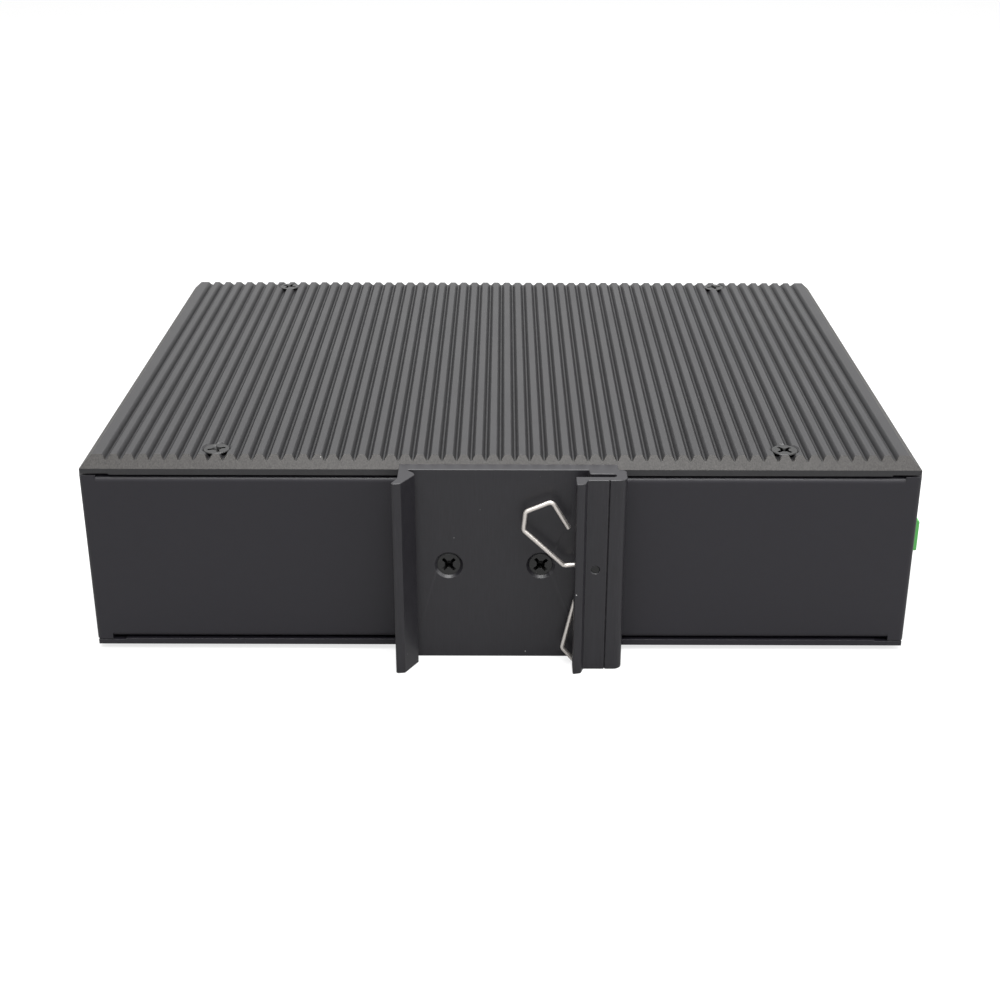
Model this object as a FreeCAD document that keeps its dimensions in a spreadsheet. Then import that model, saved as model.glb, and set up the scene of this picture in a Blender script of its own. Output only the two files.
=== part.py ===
import FreeCAD, Part
import math
import os
import Sketcher

# An industrial network switch that snaps onto a 35 mm rail. It lies on its side: +Z is the
# normal of the upper ribbed cover, +X points to the end that is up on a wall, where the power
# plug sits, and +Y points from the rail towards the panel with the sockets. The origin is on
# the face of the clip that seats on the rail, at half the length and height of the case.
# All lengths are in millimetres.

V = FreeCAD.Vector
DOC = FreeCAD.newDocument("rail_switch")
SHEET = DOC.addObject("Spreadsheet::Sheet", "sizes")

SIZES = {
    # case
    "case_length": 165.7,
    "case_depth": 125.0,
    "case_height": 41.35,
    "sheet_wall": 1.0,
    "bend_outer": 1.15,
    "fit_gap": 0.1,
    "seam_gap": 0.4,
    "corner_gap_top": 0.45,
    "corner_gap_bottom": 0.15,
    "flange_end": 3.3,
    "flange_width": 10.0,
    # ribbed upper cover and flat lower one
    "cover_lip": 1.0,
    "cover_inset": 0.35,
    "cover_bevel": 2.25,
    "tongue_drop": 0.25,
    "tongue_end": 6.0,
    "rib_edge": 5.05,
    "groove_total": 55.0,
    "groove_mouth": 1.65,
    "groove_floor": 0.16,
    "groove_deep": 0.98,
    # countersunk screws of the covers
    "screw_share": 0.6795,
    "screw_inset": 5.5,
    "screw_radius": 1.5,
    "screw_hole": 1.65,
    "screw_head": 2.6,
    "screw_sink": 3.0,
    "screw_sunk": 0.15,
    "plate_head": 2.3,
    "plate_sink": 2.65,
    "plate_sunk": 0.1,
    "nut_radius": 3.0,
    "nut_barrel": 2.1,
    "nut_tall": 2.2,
    # rail clip
    "clip_length": 41.4,
    "clip_base": 2.7,
    "clip_left": 19.75,
    "rail_left": 18.06,
    "rail_width": 35.2,
    "hook_reach": 7.1,
    "hook_flare": 1.1,
    "hook_neck": 4.25,
    "hook_tip": 1.9,
    "barb_over": 1.56,
    "barb_low": 2.55,
    "barb_high": 0.85,
    "jaw_step": 1.93,
    "jaw_slot": 1.5,
    "jaw_lip": 1.7,
    "jaw_slot_end": 22.4,
    "jaw_right": 24.4,
    "jaw_round": 2.1,
    "jaw_back": 1.5,
    "jaw_toe": 2.2,
    "jaw_toe_left": 14.55,
    "jaw_toe_wide": 1.75,
    "jaw_toe_slant": 0.45,
    "score_at": 20.95,
    "score_wide": 0.36,
    "score_deep": 0.3,
    "clip_screw_mid": 1.08,
    "clip_screw_span": 18.32,
    "clip_sink": 2.88,
    "clip_head": 2.42,
    "clip_sunk": 0.45,
    # wire spring and its pin
    "wire_radius": 0.45,
    "wire_bend": 1.15,
    "pin_radius": 0.78,
    "pin_at_x": 18.64,
    "pin_at_z": 1.6,
    "pin_sunk": 0.2,
    "spring_gap": 0.03,
    "spring_angle": 17.0,
    "leg_half": 3.68,
    "loop_reach": 2.05,
    "loop_bend": 2.0,
    "leg_reach": 5.85,
    "knee_reach": 11.5,
    "knee_half": 13.67,
    "nose_reach": 9.9,
    "nose_half": 17.45,
    "hook_back": 4.1,
    "hook_half": 18.07,
    "end_back": 2.7,
    "end_half": 11.5,
    # power plug and header
    "pole_total": 6.0,
    "pole_pitch": 3.81,
    "plug_out": 6.75,
    "plug_high": 7.6,
    "plug_rim": 0.7,
    "plug_nose": 8.2,
    "plug_chamfer": 0.8,
    "plug_side": 0.7,
    "plug_rear": 21.4,
    "header_wall": 1.35,
    "header_deep": 12.2,
    "header_back": 2.2,
    "contact_thick": 1.0,
    "wire_hole": 2.5,
    "wire_hole_deep": 6.0,
    "clamp_wall": 0.35,
    "plug_screw": 1.25,
    "play": 0.08,
    # circuit board
    "post_high": 7.7,
    "board_thick": 1.6,
    "board_end_gap": 2.6,
    "board_rear_gap": 5.0,
    "board_front_gap": 3.0,
    "post_inset_x": 16.0,
    "post_inset_y": 15.0,
    "post_share": 0.56,
    "post_radius": 2.9,
    # jacks
    "jack_columns": 4.0,
    "jack_pitch": 13.97,
    "jack_wide": 11.9,
    "jack_tall_share": 0.27,
    "jack_deep": 13.0,
    "latch_wide": 6.2,
    "latch_tall_share": 0.052,
    "latch_slot": 3.2,
    "latch_step_share": 0.04,
    "jack_body_deep": 32.0,
    "jack_top_gap": 0.7,
    "jack_row_share": 0.492,
    "jack_edge": 1.3,
    "shield_wall": 0.25,
    "jack_share": 0.1455,
    "jack_proud": 0.8,
    "window_gap": 0.25,
    # optical cages
    "cage_total": 2.0,
    "cage_pitch": 14.25,
    "cage_wide": 14.0,
    "cage_high": 9.4,
    "cage_deep": 46.0,
    "cage_wall": 0.4,
    "cage_from_end": 33.0,
    "cage_proud": 0.8,
    "cage_lift": 0.3,
    # indicators
    "light_total": 5.0,
    "light_share": 0.178,
    "light_radius": 1.5,
    "light_from_end": 16.5,
    "light_proud": 0.5,
    # ground terminal
    "ground_along": 62.0,
    "ground_above": 4.5,
    "ground_radius": 2.0,
    "ground_head": 4.0,
    "ground_head_high": 2.4,
    "washer_radius": 4.6,
    "washer_thick": 0.9,
    # parts on the board
    "chip_size": 21.0,
    "chip_thick": 1.6,
    "chip_share": 0.18,
    "chip_y": 62.0,
    "pad_thick": 1.0,
    "heat_size": 30.0,
    "phy_size": 14.0,
    "phy_thick": 1.2,
    "can_radius": 5.0,
    "can_high": 16.0,
    "coil_size": 12.5,
    "coil_high": 7.0,
    "can_from_end": 19.9,
    "can_y": 29.5,
    "can_pitch": 11.0,
    "coil_from_end": 41.9,
    "coil_y": 24.0,
    "core_from_end": 44.9,
    "core_y": 40.0,
    "relay_from_end": 11.9,
    "relay_y": 78.0,
    "memory_share": -0.18,
    "memory_y": 50.0,
    "crystal_share": -0.36,
    "crystal_y": 64.0,
}


def fill_sheet():
    """Write every size into the spreadsheet, one row each, under its own alias."""
    for row, (alias, number) in enumerate(SIZES.items(), start=1):
        SHEET.set(f"A{row}", alias)
        SHEET.set(f"B{row}", str(number))
        SHEET.setAlias(f"B{row}", alias)
    DOC.recompute()


class Size:
    """A length with its present number and the spreadsheet expression that yields it."""

    def __init__(self, number, text):
        self.number = float(number)
        self.text = text

    def __add__(self, other):
        other = size(other)
        return Size(self.number + other.number, f"({self.text} + {other.text})")

    def __sub__(self, other):
        other = size(other)
        return Size(self.number - other.number, f"({self.text} - {other.text})")

    def __mul__(self, other):
        other = size(other)
        return Size(self.number * other.number, f"({self.text} * {other.text})")

    def __truediv__(self, other):
        other = size(other)
        return Size(self.number / other.number, f"({self.text} / {other.text})")

    def __neg__(self):
        return Size(-self.number, f"(-1 * {self.text})")

    def __radd__(self, other):
        return size(other) + self

    def __rsub__(self, other):
        return size(other) - self

    def __rmul__(self, other):
        return size(other) * self


def size(value):
    """Return value as a Size, whether it is one already or a plain number."""
    if isinstance(value, Size):
        return value
    return Size(value, repr(float(value)))


class SheetSizes:
    """Gives each alias of the spreadsheet as a Size attribute."""

    def __getattr__(self, alias):
        return Size(SHEET.get(alias), f"sizes.{alias}")


fill_sheet()
S = SheetSizes()

# Levels and faces that several pieces share.
WALL = S.clip_base
FRONT = WALL + S.case_depth
HALF_X = S.case_length / 2
COVER = S.cover_lip + S.cover_bevel
LIP = (S.case_height - COVER - S.cover_lip) / 2
TONGUE = LIP - S.tongue_drop
FLANGE = TONGUE - S.seam_gap
FLANGE_X = HALF_X - S.flange_end
COVER_X = HALF_X - S.cover_inset
PITCH = (COVER_X - S.rib_edge) * 2 / (S.groove_total - 1)
SCREW_X = HALF_X * S.screw_share
REAR_SCREW_Y = WALL + S.screw_inset
FRONT_SCREW_Y = FRONT - S.screw_inset
BOARD_LOW = S.post_high - TONGUE
BOARD_TOP = BOARD_LOW + S.board_thick
ROOM = FLANGE - S.sheet_wall - BOARD_TOP
END_INNER = HALF_X - S.sheet_wall
PANEL_X = END_INNER - S.fit_gap
RAIL_RIGHT = S.rail_width - S.rail_left
JAW_OUT = S.jaw_step + S.jaw_slot + S.jaw_lip
BOARD_END = END_INNER - S.sheet_wall - S.board_end_gap
JACK_HIGH = ROOM - S.jack_top_gap
JACK_TALL = JACK_HIGH * S.jack_tall_share
JACK_CENTRE = HALF_X * S.jack_share
CAGE_CENTRE = S.cage_from_end - HALF_X
LIGHT_ROW = HALF_X - S.light_from_end
LIGHT_PITCH = ROOM * S.light_share
GROUND_LEVEL = BOARD_TOP + S.ground_above
PIECES = {}
NEAR = 1e-4

TURN = {
    "+Z": FreeCAD.Rotation(V(0, 0, 1), V(0, 0, 1)),
    "-Z": FreeCAD.Rotation(V(1, 0, 0), 180),
    "+X": FreeCAD.Rotation(V(0, 1, 0), 90),
    "-X": FreeCAD.Rotation(V(0, 1, 0), -90),
    "+Y": FreeCAD.Rotation(V(1, 0, 0), -90),
    "-Y": FreeCAD.Rotation(V(1, 0, 0), 90),
}


# ---------------------------------------------------------------- shared helpers
def keep(name, thing):
    """Give a finished sub-part its label and note it for export."""
    thing.Label = name
    PIECES[name] = thing
    return thing


def place(thing, at, turn="+Z"):
    """Turn an object and bind its position to the sheet."""
    thing.Placement = FreeCAD.Placement(V(*[size(a).number for a in at]), TURN[turn])
    for letter, value in zip("xyz", at):
        thing.setExpression(f".Placement.Base.{letter}", size(value).text)
    return thing


def bind(thing, **values):
    """Bind properties of an object to Sizes."""
    for name, value in values.items():
        value = size(value)
        whole = isinstance(getattr(thing, name), int)
        setattr(thing, name, int(value.number) if whole else value.number)
        thing.setExpression(name, value.text)
    return thing


def block(name, low, sides):
    """A box from its low corner and its three sides."""
    box = DOC.addObject("Part::Box", name)
    bind(box, Length=sides[0], Width=sides[1], Height=sides[2])
    return place(box, low)


def rod(name, radius, length, at, turn="+Z"):
    """A round bar that starts at a point and runs along an axis."""
    bar = DOC.addObject("Part::Cylinder", name)
    bind(bar, Radius=radius, Height=length)
    return place(bar, at, turn)


def cone(name, radius, end_radius, length, at, turn="+Z"):
    """A cone that starts at a point and runs along an axis."""
    taper = DOC.addObject("Part::Cone", name)
    bind(taper, Radius1=radius, Radius2=end_radius, Height=length)
    return place(taper, at, turn)


def hexagon(name, corner_radius, length, at, turn="+Z"):
    """A six-sided bar that starts at a point and runs along an axis."""
    bar = DOC.addObject("Part::Prism", name)
    bar.Polygon = 6
    bind(bar, Circumradius=corner_radius, Height=length)
    return place(bar, at, turn)


def cut(name, base, tools):
    """The base without the tools."""
    tool = tools[0] if len(tools) == 1 else fuse(f"{name}_tools", tools)
    rest = DOC.addObject("Part::Cut", name)
    rest.Base = base
    rest.Tool = tool
    return rest


def fuse(name, members):
    """One solid from several that touch."""
    joined = DOC.addObject("Part::MultiFuse", name)
    joined.Shapes = members
    joined.Refine = True
    return joined


def group(name, members):
    """Separate solids that share one node."""
    bundle = DOC.addObject("Part::Compound", name)
    bundle.Links = members
    return keep(name, bundle)


def new_body(name):
    """An empty body that will become the sub-part of that name."""
    return keep(name, DOC.addObject("PartDesign::Body", name))


def origin_plane(body, role):
    """One of a body's own origin planes."""
    for feature in body.Origin.OriginFeatures:
        if feature.Role == role:
            return feature
    raise KeyError(role)


def new_sketch(body, name, role="XY_Plane", offset=0.0):
    """A sketch on an origin plane of its body, moved along the plane's normal."""
    sketch = body.newObject("Sketcher::SketchObject", name)
    sketch.AttachmentSupport = (origin_plane(body, role), [""])
    sketch.MapMode = "FlatFace"
    sketch.setExpression(".AttachmentOffset.Base.z", size(offset).text)
    return sketch


def pin_point(sketch, edge, end, x, y):
    """Tie one point of a sketch to its distances from the origin."""
    for kind, value in (("DistanceX", size(x)), ("DistanceY", size(y))):
        rule = sketch.addConstraint(Sketcher.Constraint(kind, -1, 1, edge, end, value.number))
        sketch.setExpression(f"Constraints[{rule}]", value.text)


def pin_radius(sketch, edge, radius):
    """Tie the radius of an arc or circle to a Size."""
    rule = sketch.addConstraint(Sketcher.Constraint("Radius", edge, size(radius).number))
    sketch.setExpression(f"Constraints[{rule}]", size(radius).text)


def arc_between(start, end, radius, side):
    """The shorter arc from start to end, with its centre left (1) or right (-1) of the way."""
    chord = end - start
    reach = math.sqrt(max(radius * radius - (chord.Length / 2) ** 2, 0.0))
    left = V(-chord.y, chord.x, 0).normalize()
    centre = start + chord * 0.5 + left * (side * reach)
    first, last = (start, end) if side > 0 else (end, start)
    first_angle = math.atan2(first.y - centre.y, first.x - centre.x)
    last_angle = math.atan2(last.y - centre.y, last.x - centre.x)
    circle = Part.Circle(centre, V(0, 0, 1), radius)
    return Part.ArcOfCircle(circle, first_angle, last_angle)


def outline(sketch, points, arcs=None):
    """A closed outline through points; arcs maps a side's index to (radius, side of centre)."""
    arcs = arcs or {}
    flat = [V(size(x).number, size(y).number, 0) for x, y in points]
    total = len(points)
    ends = []
    for index in range(total):
        start, end = flat[index], flat[(index + 1) % total]
        if index in arcs:
            radius, side = arcs[index]
            curve = arc_between(start, end, size(radius).number, side)
            ends.append((sketch.addGeometry(curve, False), *((1, 2) if side > 0 else (2, 1))))
        else:
            ends.append((sketch.addGeometry(Part.LineSegment(start, end), False), 1, 2))
    for index in range(total):
        edge, _, last = ends[index]
        following, first, _ = ends[(index + 1) % total]
        sketch.addConstraint(Sketcher.Constraint("Coincident", edge, last, following, first))
    for (edge, first, _), (x, y) in zip(ends, points):
        pin_point(sketch, edge, first, x, y)
    for index, (radius, _) in arcs.items():
        pin_radius(sketch, ends[index][0], radius)


def rectangle(sketch, low, high):
    """A closed rectangle between two corners."""
    (x0, y0), (x1, y1) = low, high
    outline(sketch, [(x0, y0), (x1, y0), (x1, y1), (x0, y1)])


def circle(sketch, x, y, radius):
    """A full circle."""
    middle = V(size(x).number, size(y).number, 0)
    edge = sketch.addGeometry(Part.Circle(middle, V(0, 0, 1), size(radius).number), False)
    pin_point(sketch, edge, 3, x, y)
    pin_radius(sketch, edge, radius)


def pad(body, name, sketch, length, both_ways=False, reverse=False):
    """Pull a sketch into a solid."""
    feature = body.newObject("PartDesign::Pad", name)
    feature.Profile = sketch
    feature.SideType = "Symmetric" if both_ways else "One side"
    feature.Reversed = reverse
    return bind(feature, Length=length)


def pocket(body, name, sketch, length=None, both_ways=False, reverse=False):
    """Cut a sketch into a body, to a depth or all the way."""
    feature = body.newObject("PartDesign::Pocket", name)
    feature.Profile = sketch
    feature.SideType = "Symmetric" if both_ways else "One side"
    feature.Reversed = reverse
    if length is None:
        feature.Type = "ThroughAll"
        return feature
    return bind(feature, Length=length)


def edges_where(feature, wanted):
    """Names of the edges of a feature whose bounding box passes a test."""
    DOC.recompute()
    return [
        f"Edge{index + 1}"
        for index, edge in enumerate(feature.Shape.Edges)
        if wanted(edge.BoundBox)
    ]


def repeat(body, name, feature, sketch, pitch, total):
    """Repeat a feature in a row along its sketch's horizontal axis."""
    row = body.newObject("PartDesign::LinearPattern", name)
    row.Originals = [feature]
    row.Direction = (sketch, ["H_Axis"])
    bind(row, Length=pitch * (total - 1), Occurrences=total)
    body.Tip = row
    return row


def sink(body, name, radius, end_radius, length, at, turn="+Z"):
    """Cut a cone into a body, for a countersunk head."""
    feature = body.newObject("PartDesign::SubtractiveCone", name)
    bind(feature, Radius1=radius, Radius2=end_radius, Height=length)
    return place(feature, at, turn)


def corners(x, y_pair):
    """The four places at plus and minus x and at two values of y."""
    return [(sign * x, y) for sign in (-1, 1) for y in y_pair]


# ---------------------------------------------------------------- covers
def covers():
    """The ribbed upper cover and the flat lower one."""
    place(ribbed_cover("upper_cover"), (0, WALL, LIP))
    place(flat_cover("lower_cover"), (0, FRONT, -LIP), "-Z")


def ribbed_cover(name):
    """The extruded cover: bevelled plate, V-grooves, tongue and countersunk holes."""
    body = new_body(name)
    plate = cover_plate(body, name, COVER)
    bevel = body.newObject("PartDesign::Chamfer", f"{name}_bevel")
    bevel.Base = (plate, edges_where(plate, lambda box: abs(box.ZMin - COVER.number) < NEAR))
    bind(bevel, Size=S.cover_bevel)
    add_tongue(body, name)
    add_grooves(body, name)
    add_screw_holes(body, name, COVER, S.screw_sink)
    return body


def flat_cover(name):
    """The sheet cover: plain plate, tongue and countersunk holes."""
    body = new_body(name)
    cover_plate(body, name, S.cover_lip)
    add_tongue(body, name)
    add_screw_holes(body, name, S.cover_lip, S.plate_sink)
    return body


def cover_plate(body, name, thick):
    """A plate over the whole case, with its lip's foot at zero."""
    plan = new_sketch(body, f"{name}_plan")
    rectangle(plan, (-COVER_X, 0), (COVER_X, S.case_depth))
    return pad(body, f"{name}_plate", plan, thick)


def add_tongue(body, name):
    """Step the plate down between the case's ends."""
    plan = new_sketch(body, f"{name}_tongue_plan")
    reach = HALF_X - S.tongue_end
    rectangle(plan, (-reach, 0), (reach, S.case_depth))
    return pad(body, f"{name}_tongue", plan, S.tongue_drop, reverse=True)


def add_screw_holes(body, name, top, wide):
    """Drill the cover's four holes and countersink them to a radius at its outer face."""
    holes = new_sketch(body, f"{name}_holes")
    places = corners(SCREW_X, (S.screw_inset, S.case_depth - S.screw_inset))
    for x, y in places:
        circle(holes, x, y, S.screw_hole)
    pocket(body, f"{name}_drill", holes, COVER * 4, both_ways=True)
    depth = wide - S.screw_hole
    for index, (x, y) in enumerate(places):
        sink(body, f"{name}_sink_{index}", S.screw_hole, wide, depth, (x, y, top - depth))


def add_grooves(body, name):
    """Cut the first V-groove along the depth and repeat it over the length."""
    first = -PITCH * (S.groove_total - 1) / 2
    section = new_sketch(body, f"{name}_groove", "XZ_Plane")
    mouth, floor = S.groove_mouth / 2, S.groove_floor / 2
    spread = mouth * 2 - floor
    outline(
        section,
        [
            (first - floor, COVER - S.groove_deep),
            (first + floor, COVER - S.groove_deep),
            (first + spread, COVER + S.groove_deep),
            (first - spread, COVER + S.groove_deep),
        ],
    )
    groove = pocket(body, f"{name}_first_groove", section, S.case_depth * 3, both_ways=True)
    return repeat(body, f"{name}_grooves", groove, section, PITCH, S.groove_total)


# ---------------------------------------------------------------- folded sheets
def folded_tray(name, half_width, arm, low, high):
    """A sheet folded into a wall along X with two end arms, with flanges above and below."""
    body = new_body(name)
    plan = new_sketch(body, f"{name}_plan", offset=low)
    wall, bend = S.sheet_wall, S.bend_outer
    inner = bend - wall
    points = [
        (-half_width + bend, 0),
        (half_width - bend, 0),
        (half_width, bend),
        (half_width, arm),
        (half_width - wall, arm),
        (half_width - wall, bend),
        (half_width - bend, wall),
        (-half_width + bend, wall),
        (-half_width + wall, bend),
        (-half_width + wall, arm),
        (-half_width, arm),
        (-half_width, bend),
    ]
    arcs = {1: (bend, 1), 5: (inner, -1), 7: (inner, -1), 11: (bend, 1)}
    outline(plan, points, arcs)
    pad(body, f"{name}_wall", plan, high - low)
    for side, word in ((1, "top"), (-1, "bottom")):
        add_flange(body, f"{name}_{word}", side)
    return body


def add_flange(body, name, side):
    """Fold the wall's edge inwards along the flange's length, above (1) or below (-1)."""
    wall, bend = S.sheet_wall, S.bend_outer
    inner = bend - wall
    level = FLANGE * side
    trim = new_sketch(body, f"{name}_trim", "YZ_Plane")
    clear = level + side * bend * 2
    rectangle(trim, (-bend, level - side * bend), (wall * 1.5, clear))
    pocket(body, f"{name}_notch", trim, FLANGE_X * 2, both_ways=True)
    fold = new_sketch(body, f"{name}_fold", "YZ_Plane")
    points = [
        (0, level - side * bend),
        (bend, level),
        (S.flange_width, level),
        (S.flange_width, level - side * wall),
        (bend, level - side * wall),
        (wall, level - side * bend),
    ]
    outline(fold, points, {0: (bend, -side), 4: (inner, side)})
    pad(body, f"{name}_flange", fold, FLANGE_X * 2, both_ways=True)


def nut_holes(body, name, y):
    """Holes for the clinched nuts through both flanges."""
    holes = new_sketch(body, f"{name}_nut_holes")
    for side in (-1, 1):
        circle(holes, side * SCREW_X, y, S.nut_barrel + S.fit_gap)
    pocket(body, f"{name}_nut_drill", holes, S.case_height * 2, both_ways=True)


def chassis():
    """The rear wall and both end walls, folded from one sheet."""
    low = -LIP + S.corner_gap_bottom
    high = LIP - S.corner_gap_top
    body = folded_tray("chassis", HALF_X, S.case_depth, low, high)
    nut_holes(body, "chassis", S.screw_inset)
    rear = new_sketch(body, "chassis_rear_holes", "XZ_Plane")
    for x in clip_screw_places():
        circle(rear, x, 0, S.nut_barrel + S.fit_gap)
    pocket(body, "chassis_rear_drill", rear, S.sheet_wall * 4, both_ways=True)
    ends = new_sketch(body, "chassis_end_holes", "YZ_Plane")
    for z in panel_screw_levels():
        circle(ends, S.case_depth - S.screw_inset, z, S.screw_hole)
    pocket(body, "chassis_end_drill", ends, S.case_length * 2, both_ways=True)
    power = new_sketch(body, "chassis_power_window", "YZ_Plane")
    low_corner, high_corner = header_window()
    rectangle(power, low_corner, high_corner)
    circle(power, S.ground_along - WALL, GROUND_LEVEL, S.ground_radius + S.fit_gap * 2)
    pocket(body, "chassis_power_cut", power, S.case_length, reverse=True)
    return place(body, (0, WALL, 0))


def front_panel():
    """The socket side: a folded sheet with windows for jacks, cages and indicators."""
    level = FLANGE - S.bend_outer
    body = folded_tray("front_panel", PANEL_X, S.flange_width * 1.6, -level, level)
    nut_holes(body, "front_panel", S.screw_inset)
    ends = new_sketch(body, "front_panel_end_holes", "YZ_Plane")
    for z in panel_screw_levels():
        circle(ends, S.screw_inset, z, S.nut_barrel + S.fit_gap)
    pocket(body, "front_panel_end_drill", ends, S.case_length * 2, both_ways=True)
    windows = new_sketch(body, "front_panel_windows", "XZ_Plane")
    jack_half = jack_block_half() + S.window_gap
    centre = -JACK_CENTRE
    rectangle(
        windows,
        (centre - jack_half, BOARD_TOP - S.window_gap),
        (centre + jack_half, BOARD_TOP + JACK_HIGH + S.window_gap),
    )
    cage_half = cage_block_half() + S.window_gap
    centre = -CAGE_CENTRE
    base = BOARD_TOP + S.cage_lift
    rectangle(
        windows,
        (centre - cage_half, base - S.window_gap),
        (centre + cage_half, base + S.cage_high + S.window_gap),
    )
    for z in light_levels():
        circle(windows, -LIGHT_ROW, z, S.light_radius + S.fit_gap)
    pocket(body, "front_panel_cut", windows, S.sheet_wall * 4, both_ways=True)
    place(body, (0, FRONT, 0))
    return turn_about_z(body)


def turn_about_z(body):
    """Turn a placed body half a turn about the vertical axis through its position."""
    body.Placement = FreeCAD.Placement(body.Placement.Base, FreeCAD.Rotation(V(0, 0, 1), 180))
    return body


def panel_screw_levels():
    """Heights of the two screws in each end wall."""
    return [-LIP / 2, LIP / 2]


# ---------------------------------------------------------------- fasteners
def countersunk_screw(name, at, turn, head, shank, length):
    """One screw: at is the middle of its head's flat face, turn the way its shank points."""
    rise = head - shank
    parts = [
        cone(f"{name}_head", head, shank, rise, (0, 0, 0)),
        rod(f"{name}_shank", shank, length, (0, 0, 0)),
    ]
    return place(fuse(name, parts), at, turn)


def pan_screw(name, at, turn, head, head_high, shank, length):
    """One pan-head screw: at is under its head, turn the way its shank points."""
    parts = [
        rod(f"{name}_head", head, head_high, (0, 0, -head_high)),
        rod(f"{name}_shank", shank, length + head_high, (0, 0, -head_high)),
    ]
    return place(fuse(name, parts), at, turn)


def clinch_nut(name, at, turn, stand=0.0):
    """One nut pressed into a sheet from its far face, standing proud of the near one."""
    reach = S.sheet_wall + stand
    collar = rod(f"{name}_collar", S.nut_radius, S.nut_tall, (0, 0, 0))
    barrel = rod(f"{name}_barrel", S.nut_barrel, reach, (0, 0, -reach))
    joined = fuse(f"{name}_blank", [collar, barrel])
    bore = S.screw_radius + S.fit_gap / 2
    hole = rod(f"{name}_bore", bore, (S.nut_tall + reach) * 2, (0, 0, -reach * 1.5))
    return place(cut(name, joined, [hole]), at, turn)


def cover_screws():
    """Four screws for each cover, their heads just below its outer face."""
    set_cover_screws("upper_cover_screws", 1, COVER - S.screw_sunk, S.screw_head)
    set_cover_screws("lower_cover_screws", -1, S.cover_lip - S.plate_sunk, S.plate_head)


def set_cover_screws(name, side, rise, head):
    """The screws of one cover; rise is their heads' height over the lip's foot."""
    turn = "-Z" if side > 0 else "+Z"
    length = rise + S.tongue_drop + S.seam_gap + S.sheet_wall + S.nut_tall
    level = (LIP + rise) * side
    screws = [
        countersunk_screw(f"{name}_{i}", (x, y, level), turn, head, S.screw_radius, length)
        for i, (x, y) in enumerate(corners(SCREW_X, (REAR_SCREW_Y, FRONT_SCREW_Y)))
    ]
    group(name, screws)


def cover_nuts():
    """The nuts clinched into the flanges for the cover screws."""
    nuts = []
    for side, turn, word in ((1, "-Z", "upper"), (-1, "+Z", "lower")):
        level = side * (FLANGE - S.sheet_wall)
        for i, (x, y) in enumerate(corners(SCREW_X, (REAR_SCREW_Y, FRONT_SCREW_Y))):
            nuts.append(clinch_nut(f"cover_nut_{word}_{i}", (x, y, level), turn, S.seam_gap))
    group("cover_nuts", nuts)


def panel_fasteners():
    """Screws through the end walls into nuts in the front panel's arms."""
    screws, nuts = [], []
    length = S.sheet_wall * 2 + S.fit_gap + S.nut_tall
    for side, turn, end in ((1, "-X", "right"), (-1, "+X", "left")):
        for i, z in enumerate(panel_screw_levels()):
            word = f"{end}_{i}"
            screws.append(
                pan_screw(
                    f"panel_screw_{word}",
                    (side * HALF_X, FRONT_SCREW_Y, z),
                    turn,
                    S.screw_head + S.fit_gap,
                    S.screw_radius,
                    S.screw_radius,
                    length,
                )
            )
            inner = side * (PANEL_X - S.sheet_wall)
            nuts.append(clinch_nut(f"panel_nut_{word}", (inner, FRONT_SCREW_Y, z), turn, S.fit_gap))
    group("panel_screws", screws)
    group("panel_nuts", nuts)


# ---------------------------------------------------------------- rail clip
def clip_screw_places():
    """The two screw holes of the clip along X."""
    return [-S.clip_screw_mid - S.clip_screw_span / 2, -S.clip_screw_mid + S.clip_screw_span / 2]


def rail_clip():
    """The extruded clip: a fixed barbed hook, the rail's seat and a slotted jaw."""
    body = new_body("rail_clip")
    section = new_sketch(body, "rail_clip_section")
    outline(section, *clip_outline())
    pad(body, "rail_clip_extrusion", section, S.clip_length, both_ways=True)
    screws = new_sketch(body, "rail_clip_holes", "XZ_Plane", offset=-S.clip_base * 2)
    for x in clip_screw_places():
        circle(screws, x, 0, S.screw_hole)
    pocket(body, "rail_clip_drill", screws, S.clip_base * 4, both_ways=True)
    for i, x in enumerate(clip_screw_places()):
        depth = S.clip_sink - S.screw_hole
        sink(body, f"rail_clip_sink_{i}", S.clip_sink, S.screw_hole, depth, (x, 0, 0), "+Y")
    bore = new_sketch(body, "rail_clip_pin_hole", "XZ_Plane")
    circle(bore, S.pin_at_x, S.pin_at_z, S.pin_radius + S.spring_gap)
    pocket(body, "rail_clip_pin_drill", bore, S.clip_base * 6, both_ways=True)
    return body


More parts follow.
